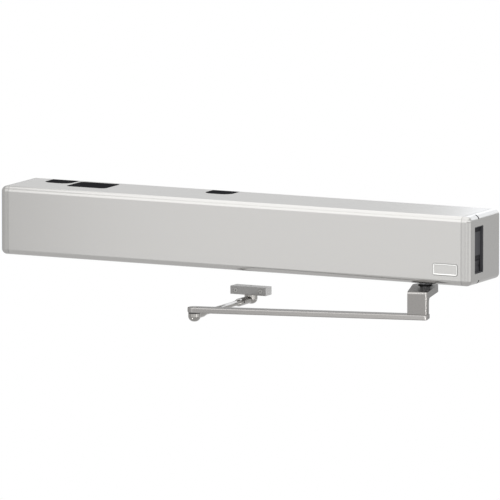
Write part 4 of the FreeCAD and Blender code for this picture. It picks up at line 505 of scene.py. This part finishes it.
# %% Two countersunk screws in the door shoe
SHOE_SCREW_SPAN = 47.8 * MM
HEAD_SUNK = 0.1 * MM
CROSS_REACH = 2.1
CROSS_SLOT = 0.9
CROSS_DEEP = 1.8
HEAD_AND_SHANK = [(3.9, 0.0), (4.05, -0.15), (2.4, -1.9), (2.4, -21.0)]
shoe_low, shoe_high = (Vector(corner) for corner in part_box("door_shoe"))
for word, side in (("left", -1), ("right", 1)):
    screw = bmesh.new()
    screw_body(screw, cross_recess(screw, CROSS_REACH, CROSS_SLOT, CROSS_DEEP), HEAD_AND_SHANK)
    spot = (shoe_low + shoe_high) / 2
    spot.x += side * SHOE_SCREW_SPAN / 2
    spot.y = shoe_low.y + HEAD_SUNK
    seated(screw, spot, (0, -1, 0))
    hand_over(screw, "shoe_screw_" + word, "shoe", [dull_zinc])
print("shoe screws", round(SHOE_SCREW_SPAN / MM, 1), "mm apart")

# %% Set screw in the collar of the rod
HEX_SIDES = 6
SET_EDGE = 0.3
SET_SOCKET_DEEP = 1.6
set_low, set_high = (Vector(corner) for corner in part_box("set_screw"))
set_radius = (set_high.z - set_low.z) / 2 / MM
set_length = (set_high.x - set_low.x) / MM
grub = bmesh.new()
screw_body(grub, sunk_circle(grub, HEX_SIDES, 0.55 * set_radius, SET_SOCKET_DEEP),
           [(set_radius - SET_EDGE, 0), (set_radius, -SET_EDGE), (set_radius, -set_length)])
spot = (set_low + set_high) / 2
spot.x = set_high.x
seated(grub, spot, (1, 0, 0))
hand_over(grub, "set_screw_socket", "forearm", [black_oxide], ("set_screw",))
print("set screw radius", round(set_radius, 2), "mm")

# %% Screw under the hub
HUB_SOCKET_RADIUS = 3.5
HUB_SOCKET_DEEP = 2.6
HEAD_EDGE = 0.6
HEAD_HIGH = 4
THREAD_RADIUS = 2.3
head_low, head_high = (Vector(corner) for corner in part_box("arm_screw"))
head_radius = (head_high.x - head_low.x) / 2 / MM
length = (head_high.z - head_low.z) / MM
hub_screw = bmesh.new()
screw_body(hub_screw, sunk_circle(hub_screw, HEX_SIDES, HUB_SOCKET_RADIUS, HUB_SOCKET_DEEP),
           [(head_radius - HEAD_EDGE, 0), (head_radius, -HEAD_EDGE), (head_radius, -HEAD_HIGH),
            (THREAD_RADIUS, -HEAD_HIGH), (THREAD_RADIUS, -length)])
spot = (head_low + head_high) / 2
spot.z = head_low.z
seated(hub_screw, spot, (0, 0, -1))
hand_over(hub_screw, "arm_screw_socket", "arm", [zinc_screw], ("arm_screw",))
print("arm screw radius", round(head_radius, 2), "mm")

# %% Drilled end of the shoe pin
DRILL_SIDES = 16
DRILL_RADIUS = 1.6
DRILL_DEEP = 1.8
PIN_EDGE = 0.4
pin_low, pin_high = (Vector(corner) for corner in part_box("shoe_pin"))
pin_radius = (pin_high.x - pin_low.x) / 2 / MM
pin_length = (pin_high.z - pin_low.z) / MM
pin = bmesh.new()
screw_body(pin, sunk_circle(pin, DRILL_SIDES, DRILL_RADIUS, DRILL_DEEP),
           [(pin_radius - PIN_EDGE, 0), (pin_radius, -PIN_EDGE), (pin_radius, -pin_length)])
spot = (pin_low + pin_high) / 2
spot.z = pin_high.z
seated(pin, spot, (0, 0, 1))
hand_over(pin, "shoe_pin_drilled", "shoe", [turned_steel], ("shoe_pin",))
print("shoe pin radius", round(pin_radius, 2), "mm")

# %% [markdown]
# ## The sleeve round the spindle
# Between the box and the hub a short steel sleeve stands round the spindle. Its nylon flange lies
# on the hub and keeps dirt out. A turned piece is a profile spun once round the axis; the first
# and last ring fall together, so they are merged. The output gear sits on the same spindle, so
# the middle of its box gives the axis. The profile is (radius, level) in millimetres.

# %% A flanged sleeve, spun from its profile
SLEEVE_PROFILE = [(5.9, 0.05), (12.0, 0.05), (12.4, 0.35), (12.4, 1.2), (12.0, 1.5), (9.4, 1.6),
                  (9.2, 1.9), (9.2, 9.2), (8.8, 9.6), (5.9, 9.6)]
FLANGE_FROM = 9.3 * MM
gear_low, gear_high = (Vector(corner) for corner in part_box("output_gear"))
hub_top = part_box("main_arm")[1][2]
sleeve = bmesh.new()
points = [sleeve.verts.new((radius * MM, 0, level * MM)) for radius, level in SLEEVE_PROFILE]
outline = [sleeve.edges.new((point, points[(number + 1) % len(points)]))
           for number, point in enumerate(points)]
bmesh.ops.spin(sleeve, geom=points + outline, axis=(0, 0, 1), cent=(0, 0, 0), angle=math.tau, steps=48,
               use_merge=True)
bmesh.ops.recalc_face_normals(sleeve, faces=sleeve.faces)
sleeve_place = (gear_low + gear_high) / 2
sleeve_place.z = hub_top
bmesh.ops.translate(sleeve, vec=sleeve_place, verts=sleeve.verts)
sleeve_steel = finish("phosphated_sleeve_steel", "#808082", "#868688", 0.9, 0.3, 0.8)
for face in sleeve.faces:
    off_axis = (face.calc_center_median() - sleeve_place).to_2d().length
    face.material_index = 1 if off_axis > FLANGE_FROM else 0
hand_over(sleeve, "spindle_sleeve", "arm", [sleeve_steel, nylon])
print("sleeve on the hub at", round(hub_top / MM, 1), "mm")

# %% [markdown]
# ## The closer spring
# One end of the spring rests on the piston, which the arm pushes up to 34 mm into the tube; the
# other end stays on the plug. Here the coil is a joined-up, smooth-shaded copy of the node, with its
# place baked into its points; it rides on no body.

# %% The spring coil, a joined-up copy of the node
coil_item = hand_over(welded_copy("closer_spring"), "spring_coil", None, [oiled_spring],
                      ("closer_spring",))
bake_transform(coil_item)

# %% [markdown]
# ## The switch panel
# The panel behind the window is one moulding with a collar that lines the window. The collar's
# faces get a lighter black, painted light that evens out the shade inside the window. They are
# picked by where they lie: all that stands out from the face of the panel.

# %% Panel with its collar in painted light
PANEL_SET_BACK = 4.8 * MM
COLLAR_ROOT = 2.0 * MM
panel_item = rounded_copy("switch_panel", "header", panel_abs, 0.15)
panel_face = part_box("end_cap_right")[1][0] - PANEL_SET_BACK


def on_the_collar(face):
    """True for a face that stands out from the panel and doesn't reach back behind its root."""
    backmost = min(panel_item.data.vertices[vert].co.x for vert in face.vertices)
    return backmost > panel_face - COLLAR_ROOT and face.center.x > panel_face


second_finish(panel_item, painted_light_bezel_abs, on_the_collar)

# %% [markdown]
# ## The rocker
# The rocker behind the window has a shallow V for a face, so that one half stands out at a time.
# Fine bars across each half give the finger grip, and a small pip marks the upper half. The body
# is a rounded copy of the node; the bars are thin boxes laid on its two slopes.

# %% Rocker with grip bars
V_DEEP = 1.4
HALF_HIGH = 10.0
BAR_LEVELS = (5.0, 6.6, 8.2)
BAR_SIZE = (0.7 * MM, 18 * MM, 0.6 * MM)
rocker_shape = welded_copy("rocker")
make_flats_whole(rocker_shape)
rocker_low, rocker_high = (Vector(corner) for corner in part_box("rocker"))
rocker_middle = (rocker_low + rocker_high) / 2
slope = math.atan2(V_DEEP, HALF_HIGH)
for side in (-1, 1):
    for level in BAR_LEVELS:
        out = rocker_high.x / MM - V_DEEP + V_DEEP * level / HALF_HIGH
        place = (out * MM, rocker_middle.y, rocker_middle.z + side * level * MM)
        made = bmesh.ops.create_cube(rocker_shape, size=1)["verts"]
        bmesh.ops.scale(rocker_shape, vec=BAR_SIZE, verts=made)
        bmesh.ops.rotate(rocker_shape, matrix=Matrix.Rotation(side * -slope, 3, "Y"), verts=made)
        bmesh.ops.translate(rocker_shape, vec=place, verts=made)
print("grip bars:", 2 * len(BAR_LEVELS), "on slopes of", round(math.degrees(slope), 1), "degrees")

# %% Pip on the upper half
PIP_SUNK = 1.0 * MM
PIP_UP = 2.6 * MM
pip = bmesh.ops.create_cone(rocker_shape, cap_ends=True, segments=16, radius1=1.1 * MM,
                            radius2=0.8 * MM, depth=0.8 * MM)["verts"]
bmesh.ops.rotate(rocker_shape, matrix=Matrix.Rotation(math.radians(90), 3, "Y"), verts=pip)
bmesh.ops.translate(rocker_shape, verts=pip,
                    vec=(rocker_high.x - PIP_SUNK, rocker_middle.y, rocker_middle.z + PIP_UP))
hand_over(rocker_shape, "rocker_grip", "rocker", [rocker_abs], ("rocker",), 0.25)
print("rocker", [round(side / MM, 1) for side in rocker_high - rocker_low], "mm")

# %% [markdown]
# ## The studio
# A product cut-out has a white ground and no near shadow. The floor here lies well under the
# header and is pale. It and the sky show as white to the camera and in reflections, while the
# lamps stay at a level where a colour renders about as it is written.

# %% Floor
FLOOR_LEVEL = -1.2
FLOOR_SIZE = 60.0


def sees_background(tree):
    """1 for camera, glossy and transmission rays, 0 for the rays that carry light on the object."""
    path = add(tree, "ShaderNodeLightPath")
    first = add(tree, "ShaderNodeMath", {"operation": "MAXIMUM"},
                {0: path.outputs["Is Camera Ray"], 1: path.outputs["Is Glossy Ray"]})
    both = add(tree, "ShaderNodeMath", {"operation": "MAXIMUM"},
               {0: first.outputs[0], 1: path.outputs["Is Transmission Ray"]})
    return both.outputs[0]


floor_mesh = bpy.data.meshes.new("studio_floor")
ground = bmesh.new()
bmesh.ops.create_grid(ground, x_segments=1, y_segments=1, size=FLOOR_SIZE / 2)
bmesh.ops.translate(ground, vec=(0, 0, FLOOR_LEVEL), verts=ground.verts)
ground.to_mesh(floor_mesh)
ground.free()
floor = bpy.data.objects.new("studio_floor", floor_mesh)
bpy.context.scene.collection.objects.link(floor)
paper = bpy.data.materials.new("pale_paper")
paper.use_nodes = True
tree = paper.node_tree
tree.nodes.clear()
matt = add(tree, "ShaderNodeBsdfDiffuse", {"Color": linear("#E9E9E7")})
white = add(tree, "ShaderNodeEmission", {"Color": linear("#FFFFFF"), "Strength": 1.0})
choice = add(tree, "ShaderNodeMixShader", None,
             {0: sees_background(tree), 1: matt.outputs[0], 2: white.outputs[0]})
add(tree, "ShaderNodeOutputMaterial", None, {"Surface": choice.outputs[0]})
floor_mesh.materials.append(paper)
print("floor", FLOOR_SIZE, "m wide at", FLOOR_LEVEL, "m")

# %% Sky
SKY_LEVEL = 0.3
world = bpy.context.scene.world or bpy.data.worlds.new("studio_sky")
bpy.context.scene.world = world
world.use_nodes = True
tree = world.node_tree
tree.nodes.clear()
level = add(tree, "ShaderNodeMapRange", {"To Min": SKY_LEVEL, "To Max": 1.0},
            {"Value": sees_background(tree)})
sky = add(tree, "ShaderNodeBackground", {"Color": linear("#FFFFFF")}, {"Strength": level.outputs["Result"]})
add(tree, "ShaderNodeOutputWorld", None, {"Surface": sky.outputs[0]})
print("sky lights the object at", SKY_LEVEL)

# %% [markdown]
# ## Lamps
# A smooth metal shows what stands around it. In the picture the rounded top edge is one bright
# band, so bright panels follow each other from the front, over the box, to the rear. The flat
# front and the right side mirror low panels that are dimmer, and the underside mirrors only the
# pale floor, which keeps the lower edge darker.

# %% Large panels
def softbox(name, place, aim, across, down, radiance, colour="#FFFFFF"):
    """A rectangular area lamp that faces its aim; its watts follow from its size and radiance."""
    lamp = bpy.data.lights.new(name, "AREA")
    lamp.shape = "RECTANGLE"
    lamp.size = across
    lamp.size_y = down
    lamp.energy = radiance * math.pi * across * down
    lamp.color = linear(colour)[:3]
    item = bpy.data.objects.new(name, lamp)
    item.location = place
    item.rotation_euler = (Vector(aim) - Vector(place)).to_track_quat("-Z", "Y").to_euler()
    item.visible_camera = False
    bpy.context.scene.collection.objects.link(item)
    return item


softbox("front_low", (-1.00, -2.95, -0.46), (0, -0.12, 0), 1.5, 0.7, 0.66)
softbox("front_right", (1.40, -2.70, -0.46), (0.45, -0.1, 0), 2.6, 0.7, 0.75)
softbox("right_low", (3.00, -0.40, -0.46), (0.45, -0.1, 0), 2.8, 0.8, 0.8)
softbox("front_high", (-0.17, -2.49, 1.16), (-0.17, 0, 0), 3.4, 2.5, 1.5)
softbox("overhead", (0.17, 0, 2.75), (0.17, 0, 0), 4.1, 4.2, 1.4)
softbox("right_high", (2.66, -1.50, 1.50), (0.45, -0.1, 0), 2.8, 1.5, 1.5)
softbox("right_corner", (3.20, 0.57, 1.08), (0.45, -0.1, 0), 2.4, 1.0, 1.2)
softbox("rear_high", (-0.85, 1.98, 1.91), (-0.85, 0, 0), 1.9, 0.9, 1.35)
softbox("rear_cool", (0.45, 2.60, 1.00), (0.45, 0, 0), 2.7, 1.0, 1.5, "#F4F8FF")
print("large panels:", len(bpy.data.lights))

# %% [markdown]
# Smaller lamps give the domes, the fold of the arm and the shoe their highlights. On the cover
# they would draw stripes, so light linking names the only pieces that each of them lights. The
# lamp of the shoe stands behind and is wide, so it can point at the web of the arm as well.

# %% Highlight lamps that light only the pieces they name
def spark(name, aim, direction, distance, across, down, radiance, pieces):
    """A small lamp that lights only some pieces."""
    item = softbox(name, aim + Vector(direction) * distance, aim, across, down, radiance)
    lit = bpy.data.collections.new(name + "_lights")
    for piece in pieces:
        lit.objects.link(piece)
    item.light_linking.receiver_collection = lit
    return item


ELBOW = Vector((-0.017, -0.233, -0.130))
WEB = Vector((0.330, -0.080, -0.090))
nickel_items = (rod_item, socket_item)
spark("spark_right", ELBOW, (0.880, -0.430, -0.200), 2.5, 0.3, 0.3, 6.0, nickel_items)
spark("spark_rear", ELBOW, (0.674, 0.689, -0.267), 2.5, 0.35, 0.3, 4.0, nickel_items)
spark("spark_front", ELBOW, (-0.275, -0.715, -0.643), 1.4, 0.25, 0.25, 10.0, nickel_items)
spark("fold_light", WEB, (0.380, -0.830, 0.400), 3.0, 1.2, 0.4, 14.0, (arm_item,))
spark("edge_light", WEB, (0.850, -0.510, -0.130), 3.0, 0.6, 0.5, 12.0, (arm_item,))
spark("shoe_light", WEB, (0.370, 0.915, -0.150), 2.7, 1.0, 0.6, 1.8, (shoe_item,))
print("lamps:", len(bpy.data.lights))

# %% [markdown]
# ## Camera
# The picture was taken with a very long lens from the front right, a little above the box, so
# that parallel edges almost stay parallel. Its place was worked out from the box's edges.

# %% Camera
AIM = Vector((0.0343, -0.1199, -0.0223))
VIEW = Vector((-0.4395, 0.8871, -0.1411)).normalized()
DISTANCE = 20.203
camera_data = bpy.data.cameras.new("camera")
camera_data.lens = 835.2
camera_data.sensor_width = 36.0
camera_data.clip_end = 200.0
camera = bpy.data.objects.new("camera", camera_data)
camera.location = AIM - VIEW * DISTANCE
camera.rotation_euler = VIEW.to_track_quat("-Z", "Y").to_euler()
bpy.context.scene.collection.objects.link(camera)
bpy.context.scene.camera = camera
bpy.context.scene.view_settings.view_transform = "Standard"
print("camera at", [round(part, 2) for part in camera.location], "m")
